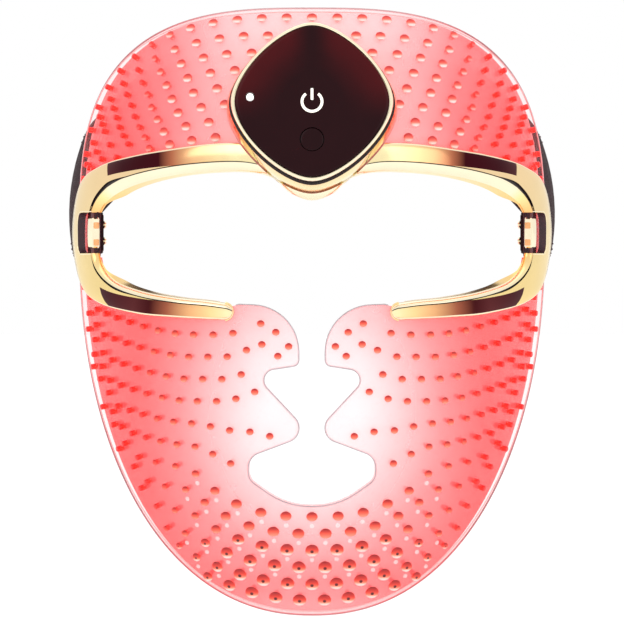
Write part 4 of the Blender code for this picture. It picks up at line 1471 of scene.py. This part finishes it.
def make_frame():
    stations = []
    steps = FRAME_SPAN * FRAME_STATIONS
    for number in range(-steps, steps + 1):
        place = number / FRAME_STATIONS
        stations.append((place, Crossing(*frame_edges(place)), lip_width(place)))
    (x, top), (_, bottom) = FRAME_EDGES[-1]
    middle = (top + bottom) / 2
    for angle in (12, 24, 36, 48, 58, 67, 75, 81):
        reach = x - TIP_LENGTH * math.sin(math.radians(angle))
        half = (top - bottom) / 2 * math.cos(math.radians(angle))
        ends = (reach, middle + half), (reach, middle - half)
        place = FRAME_SPAN + angle / 100
        stations.append((place, Crossing(*ends), LOWER_LIP))
        flipped = (-ends[0][0], ends[0][1]), (-ends[1][0], ends[1][1])
        stations.insert(0, (-place, Crossing(*flipped), LOWER_LIP))
    rings = []
    marks = []
    for place, crossing, lip in stations:
        profile = frame_profile(crossing.width, lip, flange_depth(place), groove_width(place))
        rings.append([crossing.point(distance, height) for distance, height, _ in profile])
        along = min(1.0, abs(place) / STRIP_LENGTH)
        marks += [(along, distance / crossing.width) for distance, _, _ in profile]
    kinds = [kind for _, _, kind in profile]
    points, faces = skinned(rings)
    looks = (
        lip_gilt(),
        # Painted shade: the groove beside the lip is black-red.
        plain("gilt_groove", PAINTED_SHADE_BLACK_RED, 200.0, 0.2, 0.35, 0.1, 0.0),
        banded_gilt(),
        gilt("gilt_edge", (0.97, 0.80, 0.55), 0.14),
        # Painted shade: the walls are a deeper orange gold than the lip and the band.
        gilt("gilt_wall", (0.93, 0.62, 0.22), 0.16),
        # Painted shade: the walls of the strap's notch are dark maroon.
        plain("slot_wall", (0.045, 0.010, 0.018), 200.0, 0.2, 0.45, 0.1, 0.05),
    )
    obj = build("frame_gilt", points, faces, looks, None, "gilt_plating", angle=30.0)
    mesh = obj.data
    strip = mesh.uv_layers.new(name="strip")
    count = len(kinds)
    for polygon in mesh.polygons:
        numbers = sorted(vertex % count for vertex in polygon.vertices)
        if len(numbers) == 4:
            low, high = numbers[0], numbers[-1]
            polygon.material_index = kinds[low] if high - low == 1 else WALL
        else:
            polygon.material_index = EDGE
        for loop in polygon.loop_indices:
            strip.data[loop].uv = marks[mesh.loops[loop].vertex_index]
    steps = (
        (FLANGE_CUT_RADIUS, -30.0),
        (FLANGE_CUT_RADIUS, skirt(0.15)),
        (FRAME_CUT_RADIUS, skirt(0.15)),
        (FRAME_CUT_RADIUS, 30.0),
    )
    rings = turned_rings([(diamond(radius), level) for radius, level in steps])
    tools = [cutter("unit_hole", *skinned(rings))]
    notch = [(-60.0, -NOTCH_HALF_HEIGHT, 0.0), (NOTCH_REAR, -NOTCH_HALF_HEIGHT, NOTCH_CORNER)]
    notch += [(NOTCH_REAR, NOTCH_HALF_HEIGHT, NOTCH_CORNER), (-60.0, NOTCH_HALF_HEIGHT, 0.0)]
    pin = CLIP_FOOT + CLIP_BACK * PIN_BACK + CLIP_OUT * PIN_OUT
    bore = circle(PIN_HOLE_RADIUS, 16, (pin.x, pin.y))
    notch = rounded_outline(notch)
    for side, mirrored in SIDES:
        tools.append(prism_cutter(f"notch_{side}", notch, 60.0, 100.0, "x", mirrored))
        tools.append(prism_cutter(f"bore_{side}", bore, -9.3, 9.3, "z", mirrored))
    cut(obj, *tools)
    shade_slot_walls(obj.data, notch)
    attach(obj, "mask")
    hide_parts("frame_front")
    make_notch_rims()
    make_tip_details()
    return obj


def shade_slot_walls(mesh, notch):
    """Gives the walls that the strap's notch left in the frame a painted shade, dark maroon."""
    for polygon in mesh.polygons:
        x, y, z = polygon.center / MM
        if abs(x) < 60.0 or abs(z) > NOTCH_HALF_HEIGHT + 0.1 or y > NOTCH_REAR + 0.1:
            continue
        here = Vector((y, z))
        for start, end in zip(notch, notch[1:]):
            nearest, share = intersect_point_line(here, Vector(start), Vector(end))
            if -0.05 < share < 1.05 and (nearest.to_2d() - here).length < 0.08:
                polygon.material_index = SLOT
                break


def make_notch_rims():
    """A pale raised bead round each strap notch."""
    pale = gilt("notch_rim_gilt", (0.96, 0.82, 0.56), 0.2)
    half = NOTCH_HALF_HEIGHT + 0.28
    rear = NOTCH_REAR + 0.28
    start = -11.5
    corners = [(start, -half, 0.0), (rear, -half, NOTCH_CORNER)]
    corners += [(rear, half, NOTCH_CORNER), (start, half, 0.0)]
    path = rounded_outline(corners)
    dense = []
    for first, last in zip(path, path[1:]):
        count = max(1, math.ceil(math.dist(first, last) / 0.7))
        dense += [tuple(mix(a, b, n / count) for a, b in zip(first, last)) for n in range(count)]
    dense.append(path[-1])
    height = 2.85
    line = []
    normals = []
    for y, z in dense:
        x = bowl_x(y, z, height)
        if on_bowl(x, z, height).x > 76.2:
            line.append(on_bowl(x, z, height))
            normals.append(bowl_normal(x, z))
    for side, mirrored in SIDES:
        bead = tube(line, normals, 0.2, closed=False)
        build(f"notch_rim_{side}", *bead, pale, "mask", "gilt_plating", mirrored=mirrored)


def make_tip_details():
    """A small rolled end cap on each tip of the lower bands."""
    look = gilt("tip_gilt", (0.94, 0.72, 0.40), 0.15)
    (x, top), (_, bottom) = FRAME_EDGES[-1]
    middle = (top + bottom) / 2
    for side, mirrored in SIDES:
        line = []
        for number in range(17):
            angle = math.radians(-82 + 164 * number / 16)
            reach = x - (TIP_LENGTH - 0.1) * math.cos(angle)
            line.append((reach, middle + (top - bottom) / 2 * math.sin(angle)))
        bead = tube(lifted(line, 1.5), loop_normals(line), 0.42, closed=False)
        build(f"tip_roll_{side}", *bead, look, "mask", "gilt_plating", mirrored=mirrored)


# ---- The control unit ----------------------------------------------------------------------


def make_unit():
    case = toned_gilt("gilt_casing", 0.13)
    bezel_look = gilt("gilt_bezel", CREAM_GOLD, 0.12)
    rows = (
        (None, 0.8),
        (diamond(24.5), 0.8),
        (diamond(28.4), skirt(0.5)),
        (diamond(29.85), skirt(0.5)),
        (diamond(30.0), skirt(0.8)),
        (diamond(29.95), 3.0),
        (diamond(29.7), 5.0),
        (diamond(29.3), 7.0),
        (diamond(28.95), 8.1),
        (diamond(28.7), 8.5),
        (diamond(28.4), 8.65),
        (diamond(27.2), 8.65),
        (diamond(26.8), 2.4),
        (None, 2.4),
    )
    housing = turned("unit_housing", rows, case, None, "gilt_plating")
    socket = rounded_box(4.8, 1.85, 1.6, (0.0, 4.8))
    rings = [[unit_point(u, v, w) for u, w in socket] for v in (24.0, 33.0)]
    slot = [(-3.0, -20.0), (3.0, -20.0), (3.0, -18.4), (-3.0, -18.4)]
    socket_hole = cutter("socket_hole", *skinned(rings))
    cut(housing, socket_hole, prism_cutter("tail_slot", slot, 0.0, 3.0, "w"))
    paint(housing, [casing_tone(vertex.co / MM) for vertex in housing.data.vertices])
    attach(housing, "mask")
    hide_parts("control_housing")

    rows = (
        (diamond(28.3), 9.6),
        (diamond(28.5), 9.85),
        (diamond(28.5), 11.1),
        (diamond(28.35), 11.7),
        (diamond(28.0), 12.0),
        (diamond(27.6), 12.02),
        (diamond(27.38), 11.85),
        (diamond(27.35), 10.1),
        (diamond(25.5), 10.1),
        (diamond(25.5), 9.6),
    )
    bezel = turned("unit_bezel", rows, bezel_look, "mask", "gilt_plating", closed=True)
    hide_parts("bezel_ring")

    rows = []
    for radius, level in ((26.6, 8.95), (29.0, 8.8), (29.15, 9.05), (29.0, 9.3), (26.6, 9.3)):
        rows.append(([(u, v - 0.35) for u, v in diamond(radius)], level))
    rubber = plain("seal_rubber", (0.014, 0.003, 0.005), 300.0, 0.2, 0.6, 0.1, 0.1)
    seal = turned("unit_seal", rows, rubber, "mask", "seal", closed=True)
    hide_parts("seal_ring")

    glass = panel_glass()
    rows = (
        (None, 10.4),
        (diamond(26.6), 10.4),
        (diamond(27.05), 10.7),
        (diamond(27.15), 11.4),
        (diamond(27.05), 11.8),
        (diamond(26.7), 12.05),
        (diamond(25.8), 12.18),
        (diamond(22.0), 12.27),
        (diamond(17.0), 12.35),
        (diamond(11.0), 12.41),
        (diamond(5.0), 12.45),
        (None, 12.46),
    )
    panel = turned("unit_panel", rows, glass, None, "panel")
    holes = (
        ("button_hole", circle(4.3, 48, (0.0, BUTTON_V))),
        ("light_hole", circle(1.6, 32, (LIGHT_U, LIGHT_V))),
    )
    cut(panel, *[prism_cutter(name, outline, 5.0, 15.0, "w") for name, outline in holes])
    paint(panel, [panel_tone(vertex.co / MM) for vertex in panel.data.vertices])
    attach(panel, "mask")
    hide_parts("front_panel")

    steps = ((5.0, 9.3), (5.0, 10.1), (4.08, 10.1), (4.08, 12.0))
    steps += ((4.0, 12.22), (3.8, 12.34), (3.3, 12.36), (0.4, 12.30))
    rows = [(circle(radius, 48, (0.0, BUTTON_V)), level) for radius, level in steps]
    button = turned("button_cap", rows, glass, "power_button", "panel")
    paint(button, [(0.015, 0.0016, 0.003)] * len(button.data.vertices))
    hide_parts("power_button")
    make_icon()


def unit_place(place):
    """The u and v of a place on the control unit."""
    offset = place - UNIT_CENTRE
    return offset.x, offset.y * math.sin(UNIT_TILT) + offset.z * math.cos(UNIT_TILT)


def casing_tone(place):
    """The casing's colour: gold, with an orange cast on its left and right that is painted
    reflection.
    """
    u, v = unit_place(place)
    cast = smooth_step((7.0 - v) / 8.0) * smooth_step((v + 19.0) / 8.0) * smooth_step(abs(u) / 12.0)
    return tuple(mix(a, b, cast) for a, b in zip((0.93, 0.76, 0.42), (0.92, 0.42, 0.18)))


def panel_tone(place):
    """The panel's colour: black-red, with a painted red glow near its upper edges."""
    u, v = unit_place(place)
    reach = (abs(u) ** 1.5 + abs(v) ** 1.5) ** (1 / 1.5) / 27.0
    glow = smooth_step((reach - 0.4) / 0.6) * smooth_step((v + 8.0) / 16.0)
    glow *= smooth_step(abs(u) / 9.0)
    return tuple(mix(a, b, glow) for a, b in zip((0.017, 0.0016, 0.0032), (0.066, 0.003, 0.005)))


def make_icon():
    """A generic power sign in off-white enamel, in place of a printed name."""
    look = plain("icon_enamel", (0.93, 0.88, 0.78), 400.0, 0.04, 0.35, 0.1, 0.02)
    light_up(look, (1.0, 0.95, 0.84), 0.5)
    radius, half_width = 3.5, 0.48
    centre_v = -0.3
    top, bottom = 12.56, 12.38
    crown = top + 0.08
    section = ((-1, bottom), (-1, top), (-0.6, crown), (0.6, crown), (1, top), (1, bottom))
    rings = []
    for number in range(41):
        angle = math.radians(mix(90 + 38, 90 + 322, number / 40))
        ring = []
        for reach, level in section:
            r = radius + half_width * reach
            ring.append(unit_point(r * math.cos(angle), centre_v + r * math.sin(angle), level))
        rings.append(ring)
    build("power_sign_ring", *skinned(rings), look, "mask", "diffuser")
    rows = []
    for inset, level in ((0.0, bottom), (0.0, top), (0.14, crown)):
        place = (0.0, centre_v + 2.7)
        rows.append((rounded_box(half_width - inset, 2.1 - inset, 0.3, place), level))
    turned("power_sign_bar", rows, look, "mask", "diffuser")


def make_back_plate():
    look = plain("back_plate_plastic", (0.80, 0.72, 0.64), 150.0, 0.05, 0.45, 0.1, 0.15)
    rows = (
        (None, -8.4),
        (diamond(26.4), -8.4),
        (diamond(27.0), -8.25),
        (diamond(27.6), -7.8),
        (diamond(28.0), -7.2),
        (diamond(28.0), skirt(-3.8)),
        (diamond(16.5), skirt(-3.8)),
        (circle(14.5), skirt(-3.8)),
        (circle(14.5), 0.3),
        (circle(11.5), 0.3),
        (circle(11.5), -6.4),
        (None, -6.4),
    )
    plate = turned("unit_back_plate", rows, look, None, "inner_plastic")
    offset = 9.2
    tools = []
    for u, v in ((-offset, offset), (offset, offset), (-offset, -offset), (offset, -offset)):
        tools.append(prism_cutter("screw_hole", circle(1.1, 24, (u, v)), -12.0, 5.0, "w"))
        tools.append(prism_cutter("screw_recess", circle(2.1, 32, (u, v)), -12.0, -6.9, "w"))
    cut(plate, *tools)
    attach(plate, "mask")
    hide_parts("back_plate")


# ---- The clips and the strap ---------------------------------------------------------------


def clip_place(back, out, z):
    """A place on the right clip: back along the bowl, out from it, and up."""
    return CLIP_FOOT + CLIP_BACK * back + CLIP_OUT * out + Vector((0.0, 0.0, z))


def clip_outline(inset, reach, count=40):
    """The clip's D: a straight front edge and a round back, as back, z pairs."""
    half = CLIP_HALF_HEIGHT - inset
    arc = [math.pi / 2 - math.pi * number / count for number in range(count + 1)]
    outline = [(-4.0 + inset, -half + 0.5), (-4.0 + inset, half - 0.5), (-3.5 + inset, half)]
    outline += [(-0.6 + (reach - inset) * math.cos(a), half * math.sin(a)) for a in arc]
    return outline + [(-3.5 + inset, -half)]


TONGUE_HEIGHTS = (2.6, -3.4)
TONGUE_BACK = -4.1
TONGUE_ROWS = ((0.22, 1.0, 0.7), (0.3, 1.1, 0.9), (0.3, 1.1, 2.5), (0.22, 1.0, 2.7))
RIVET_ROWS = ((1.4, -4.2), (1.4, -3.7), (0.8, -3.7), (0.8, 1.7), (0.7, 1.9), (0.4, 2.0))


def make_clips():
    look = gilt("gilt_clip", CREAM_GOLD, 0.14)
    copper = gilt("clip_copper", (0.92, 0.45, 0.20), 0.2)
    levels = (
        (0.45, CLIP_REACH, 0.2),
        (0.12, CLIP_REACH, 0.4),
        (0.0, CLIP_REACH, 0.65),
        (0.0, CLIP_REACH, 0.9),
        (0.0, 3.4, 1.5),
        (0.1, 2.4, 2.3),
        (0.2, 1.7, 2.85),
        (0.4, 1.3, 3.15),
        (0.8, 1.2, 3.3),
    )
    for side, mirrored in SIDES:
        body = f"strap_clip_{side}"
        rings = []
        for inset, reach, out in levels:
            rings.append([clip_place(back, out, z) for back, z in clip_outline(inset, reach)])
        name = f"clip_plate_{side}"
        clip = build(name, *skinned(rings), look, body, "gilt_plating", mirrored=mirrored)
        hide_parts(body)
        tongues = Batch()
        for z in TONGUE_HEIGHTS:
            rings = []
            for half_back, half_high, out in TONGUE_ROWS:
                outline = rounded_box(half_back, half_high, 0.2, (TONGUE_BACK, z))
                rings.append([clip_place(back, out, height) for back, height in outline])
            tongues.add(*skinned(rings))
        name = f"clip_tongues_{side}"
        build(name, tongues.points, tongues.faces, copper, body, "rivet", mirrored=mirrored)
        for level, z in (("upper", RIVET_HEIGHT), ("lower", -RIVET_HEIGHT)):
            rings = []
            for radius, out in RIVET_ROWS:
                outline = circle(radius, 28, (RIVET_BACK, z))
                rings.append([clip_place(back, out, height) for back, height in outline])
            name = f"rivet_{side}_{level}"
            rivet = build(name, *skinned(rings), look, body, "rivet", mirrored=mirrored)
            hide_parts(f"clip_{name}")


def make_slot_pads():
    """The dark pad in each strap slot, set into the sheets' notch behind the clip."""
    look = plain("slot_pad", (0.055, 0.013, 0.022), 500.0, 0.2, 0.8, 0.1, 0.3)
    rings = []
    for number in range(15):
        z = 8.2 * (number / 7 - 1)
        ring = []
        for height, ends in ((-0.9, (-8.5, 2.2)), (-1.3, (2.2, -8.5))):
            for step in range(9):
                y = mix(ends[0], ends[1], step / 8)
                ring.append(on_bowl(bowl_x(y, z), z, height))
        rings.append(ring)
    for side, mirrored in SIDES:
        name = f"strap_slot_pad_{side}"
        build(name, *skinned(rings), look, "mask", "webbing", mirrored=mirrored)


def strap_station(place):
    """The strap's middle, its outward way and its run at a place along the right route."""
    here = Vector((*smooth_curve(STRAP_ROUTE, place), 0.0))
    last = len(STRAP_ROUTE) - 1
    before = Vector((*smooth_curve(STRAP_ROUTE, max(0.0, place - 0.02)), 0.0))
    after = Vector((*smooth_curve(STRAP_ROUTE, min(float(last), place + 0.02)), 0.0))
    ahead = (after - before).normalized()
    out = Vector((ahead.y, -ahead.x, 0.0))
    if place > last - 1e-6:
        out = Vector((0.0, 1.0, 0.0))
    return here, out


def strap_height(y, share):
    """The height on the strap, and how far it curls in, at a share across it from -1 to 1."""
    grown = smooth_step((y - 20.0) / 30.0)
    half = TAB_HALF_HEIGHT + BAND_GROWTH * grown
    rise = BAND_RISE * (y - BAND_START_Y) * smooth_step((y - 14.0) / 40.0)
    rise += BAND_LIFT * smooth_step((y - 88.0) / 30.0)
    height = share * half
    return rise + height, -BAND_CURL * grown * (height - BAND_BELLY) ** 2


STRAP_SHARES = (0.1, 0.3, 0.5, 0.65, 0.8, 0.9, 0.95, 0.985, 1.0)
STRAP_STATIONS = 9
MARK_SCALE = 0.01
STITCH_START = 14.0
STITCH_STEP = 3.0
STITCH_LENGTH = 1.9


def strap_piece(name, shape, material, side):
    """A piece of one side's strap, mirrored for the left, on no body."""
    mirrored = side == "left"
    piece = build(name, *shape, material, None, "webbing", mirrored=mirrored, angle=60.0)
    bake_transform(piece)
    return piece


def mark_strip(obj, marks):
    """Writes the place along and across the strap at each point, for its weave."""
    layer = obj.data.uv_layers.new(name="strip")
    for loop in obj.data.loops:
        layer.data[loop.index].uv = marks[loop.vertex_index]


def strap_line():
    """The strap's middle, its outward way and the distance run, along the right route."""
    stations = []
    travel = 0.0
    before = None
    for number in range((len(STRAP_ROUTE) - 1) * STRAP_STATIONS + 1):
        here, out = strap_station(number / STRAP_STATIONS)
        if before is not None:
            travel += (here - before).length
        before = here
        stations.append((here, out, travel))
    return stations


def strap_shape(stations):
    """Points and faces of the right half of the strap, and the marks of its points."""
    shares = [-share for share in reversed(STRAP_SHARES)] + list(STRAP_SHARES)
    rings = []
    marks = []
    for here, out, travel in stations:
        faces_out = []
        faces_in = []
        for share in shares:
            level, curl = strap_height(here.y, share)
            edge = 1 - smooth_step((abs(share) - 0.93) / 0.07) * 0.75
            thick = STRAP_THICKNESS / 2 * edge
            base = here + Vector((0.0, 0.0, level)) + out * curl
            faces_out.append(base + out * thick)
            faces_in.append(base - out * thick)
            marks.append((travel * MARK_SCALE, level * MARK_SCALE))
        rings.append(faces_out + list(reversed(faces_in)))
        marks += list(reversed(marks[-len(shares):]))
    return skinned(rings), marks


def stitch(start, end, share, target):
    """One stitch across the strap, from a place between two stations, or None at the end."""
    here, out, reached = start
    ahead, next_out, further = end
    ends = []
    for gap in (0.0, STITCH_LENGTH):
        at = min(1.0, (target + gap - reached) / max(further - reached, 1e-6))
        middle = here.lerp(ahead, at)
        way = out.lerp(next_out, at).normalized()
        level, curl = strap_height(middle.y, share)
        lift = STRAP_THICKNESS / 2 + 0.03
        ends.append((middle + Vector((0.0, 0.0, level)) + way * (curl + lift), way))
    (a, way), (b, way_b) = ends
    if (b - a).length <= 0.5:
        return None
    line = [a - way * 0.15, a + (b - a) * 0.2 + way * 0.12]
    line += [a + (b - a) * 0.8 + way_b * 0.12, b - way_b * 0.15]
    return tube(line, [way] * 4, 0.17, 6, closed=False)


def strap_stitches(stations):
    """Two rows of stitches, near the strap's edges."""
    stitches = Batch()
    for share in (-0.9, 0.9):
        target = STITCH_START
        for start, end in zip(stations, stations[1:]):
            while start[2] <= target < end[2]:
                made = stitch(start, end, share, target)
                if made:
                    stitches.add(*made)
                target += STITCH_STEP
    return stitches.points, stitches.faces


def strap_edge(stations, share):
    """The rolled binding along one edge of the strap."""
    line = []
    for here, out, _ in stations:
        level, curl = strap_height(here.y, share)
        line.append(here + Vector((0.0, 0.0, level)) + out * curl)
    return tube(line, [out for _, out, _ in stations], 0.62, closed=False)


def make_straps():
    look = webbing()
    thread = plain("stitch_thread", (0.10, 0.022, 0.03), 900.0, 0.2, 0.7, 0.1, 0.1)
    binding = plain("strap_binding", (0.018, 0.004, 0.006), 700.0, 0.25, 0.7, 0.1, 0.2)
    stations = strap_line()
    shape, marks = strap_shape(stations)
    for side, _ in SIDES:
        strap = strap_piece(f"strap_webbing_{side}", shape, look, side)
        mark_strip(strap, marks)
        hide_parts("strap_band", f"strap_tab_{side}")
        strap_piece(f"strap_stitches_{side}", strap_stitches(stations), thread, side)
        for edge, share in (("upper", 1.0), ("lower", -1.0)):
            name = f"strap_binding_{side}_{edge}"
            strap_piece(name, strap_edge(stations, share), binding, side)
    make_back_seam(look)


def make_back_seam(look):
    """The patch that joins the strap's halves behind the head."""
    rings = []
    marks = []
    width = 9.0
    back = STRAP_ROUTE[-1][1]
    for number in range(13):
        x = width * (number / 6 - 1)
        ring = []
        for side in (1, -1):
            for step in range(13):
                share = (step / 6 - 1) * 0.93 * side
                level, curl = strap_height(back, share)
                place = smooth_curve(STRAP_ROUTE, len(STRAP_ROUTE) - 1 - abs(x) / 40.0)
                edge = 0.32 if side > 0 else 0.02
                y = place[1] + STRAP_THICKNESS / 2 + curl + edge
                ring.append(Vector((x, y, level)))
                marks.append((x * MARK_SCALE, level * MARK_SCALE))
        rings.append(ring)
    patch = build("strap_back_seam", *skinned(rings), look, "mask", "webbing", angle=60.0)
    mark_strip(patch, marks)


# ---- Carried-over nodes --------------------------------------------------------------------


# Each carried-over node's start of name, material, colour and the values that plain takes.
NODE_LOOKS = (
    ("battery_pad", "adhesive_foam", (0.06, 0.06, 0.06), (600.0, 0.2, 0.9, 0.1, 0.4)),
    ("battery", "battery_foil", (0.72, 0.72, 0.75), (120.0, 0.08, 0.4, 0.2, 0.2)),
    ("main_board", "board_laminate", (0.02, 0.16, 0.07), (200.0, 0.15, 0.4, 0.1, 0.1)),
    ("driver_chip", "chip_mould", (0.02, 0.02, 0.02), (400.0, 0.2, 0.5, 0.1, 0.2)),
    ("film_connector", "connector_mould", (0.05, 0.045, 0.04), (400.0, 0.2, 0.5, 0.1, 0.2)),
    ("tactile_switch", "switch_mould", (0.03, 0.03, 0.03), (400.0, 0.2, 0.45, 0.1, 0.2)),
    ("film_tail", "polyimide_tail", (0.55, 0.27, 0.06), (200.0, 0.1, 0.35, 0.1, 0.05)),
    ("status_led", "led_package", (0.95, 0.93, 0.80), (400.0, 0.04, 0.3, 0.1, 0.05)),
    ("status_light_pipe", "light_pipe", (0.97, 0.96, 0.95), (400.0, 0.03, 0.25, 0.1, 0.05)),
    ("icon_diffuser", "icon_diffuser", (0.94, 0.92, 0.88), (400.0, 0.04, 0.5, 0.1, 0.05)),
    ("frame_back", "strip_plastic", (0.84, 0.70, 0.52), (200.0, 0.05, 0.4, 0.1, 0.15)),
)
METAL_LOOKS = (
    ("back_plate_screw", "screw_steel", (0.72, 0.72, 0.74), 0.28),
    ("charging_socket", "socket_steel", (0.62, 0.62, 0.64), 0.32),
    ("strap_pin", "pin_steel", (0.16, 0.07, 0.07), 0.35),
)


def light_up(look, colour, strength):
    shader = look.node_tree.nodes["Principled BSDF"]
    shader.inputs["Emission Color"].default_value = (*colour, 1.0)
    shader.inputs["Emission Strength"].default_value = strength


def finish_nodes():
    looks = {}
    for key, name, colour, values in NODE_LOOKS:
        metal = {"Metallic": 0.7} if key == "battery" else {}
        looks[key] = plain(name, colour, *values, **metal)
    for key, name, colour, roughness in METAL_LOOKS:
        looks[key] = gilt(name, colour, roughness)
    light_up(looks["status_light_pipe"], (1.0, 0.98, 0.96), 0.8)
    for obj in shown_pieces():
        if obj.name not in NODE_NAMES:
            continue
        for key, look in looks.items():
            if obj.name.startswith(key):
                obj.data.materials.clear()
                obj.data.materials.append(look)
                break


# ---- The studio ----------------------------------------------------------------------------


def area_light(name, place, size, power):
    """A square light that looks at the mask."""
    light = bpy.data.lights.new(name, "AREA")
    light.shape = "RECTANGLE"
    light.size = light.size_y = size
    light.energy = power
    obj = bpy.data.objects.new(name, light)
    bpy.context.scene.collection.objects.link(obj)
    obj.location = place
    obj.rotation_euler = (-Vector(place)).to_track_quat("-Z", "Y").to_euler()
    return obj


def make_studio():
    scene = bpy.context.scene
    world = bpy.data.worlds.new("studio")
    world.use_nodes = True
    background = world.node_tree.nodes["Background"]
    background.inputs["Color"].default_value = (1.0, 1.0, 1.0, 1.0)
    background.inputs["Strength"].default_value = 1.0
    scene.world = world
    scene.view_settings.view_transform = "Standard"
    paper = (0.97, 0.97, 0.97)
    floor_look = plain("floor_paper", paper, 3.0, 0.005, 0.95, 0.02, 0.0, Emission_Strength=0.12)
    mesh = bpy.data.meshes.new("floor")
    far, level = 60.0, -0.16
    corners = ((-far, -far), (far, -far), (far, far), (-far, far))
    mesh.from_pydata([(x, y, level) for x, y in corners], [], [[0, 1, 2, 3]])
    mesh.materials.append(floor_look)
    floor = bpy.data.objects.new("floor", mesh)
    scene.collection.objects.link(floor)
    area_light("key", (-0.7, -1.1, 0.9), 0.9, 2.4)
    area_light("fill", (0.8, -1.0, 0.5), 0.8, 1.2)
    area_light("top", (0.0, 0.3, 1.3), 1.2, 1.6)
    camera = bpy.data.cameras.new("camera")
    camera.lens = 650.7
    camera.sensor_width = 36.0
    camera.clip_start = 0.01
    obj = bpy.data.objects.new("camera", camera)
    scene.collection.objects.link(obj)
    obj.location = (0.0, -4.0, -0.028)
    obj.rotation_euler = (math.pi / 2, 0.0, 0.0)
    scene.camera = obj


NODE_NAMES = {obj.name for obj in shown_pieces()}
make_sheets()
make_rims()
make_nubs()
make_frame()
make_unit()
make_back_plate()
make_clips()
make_slot_pads()
make_straps()
finish_nodes()
make_studio()
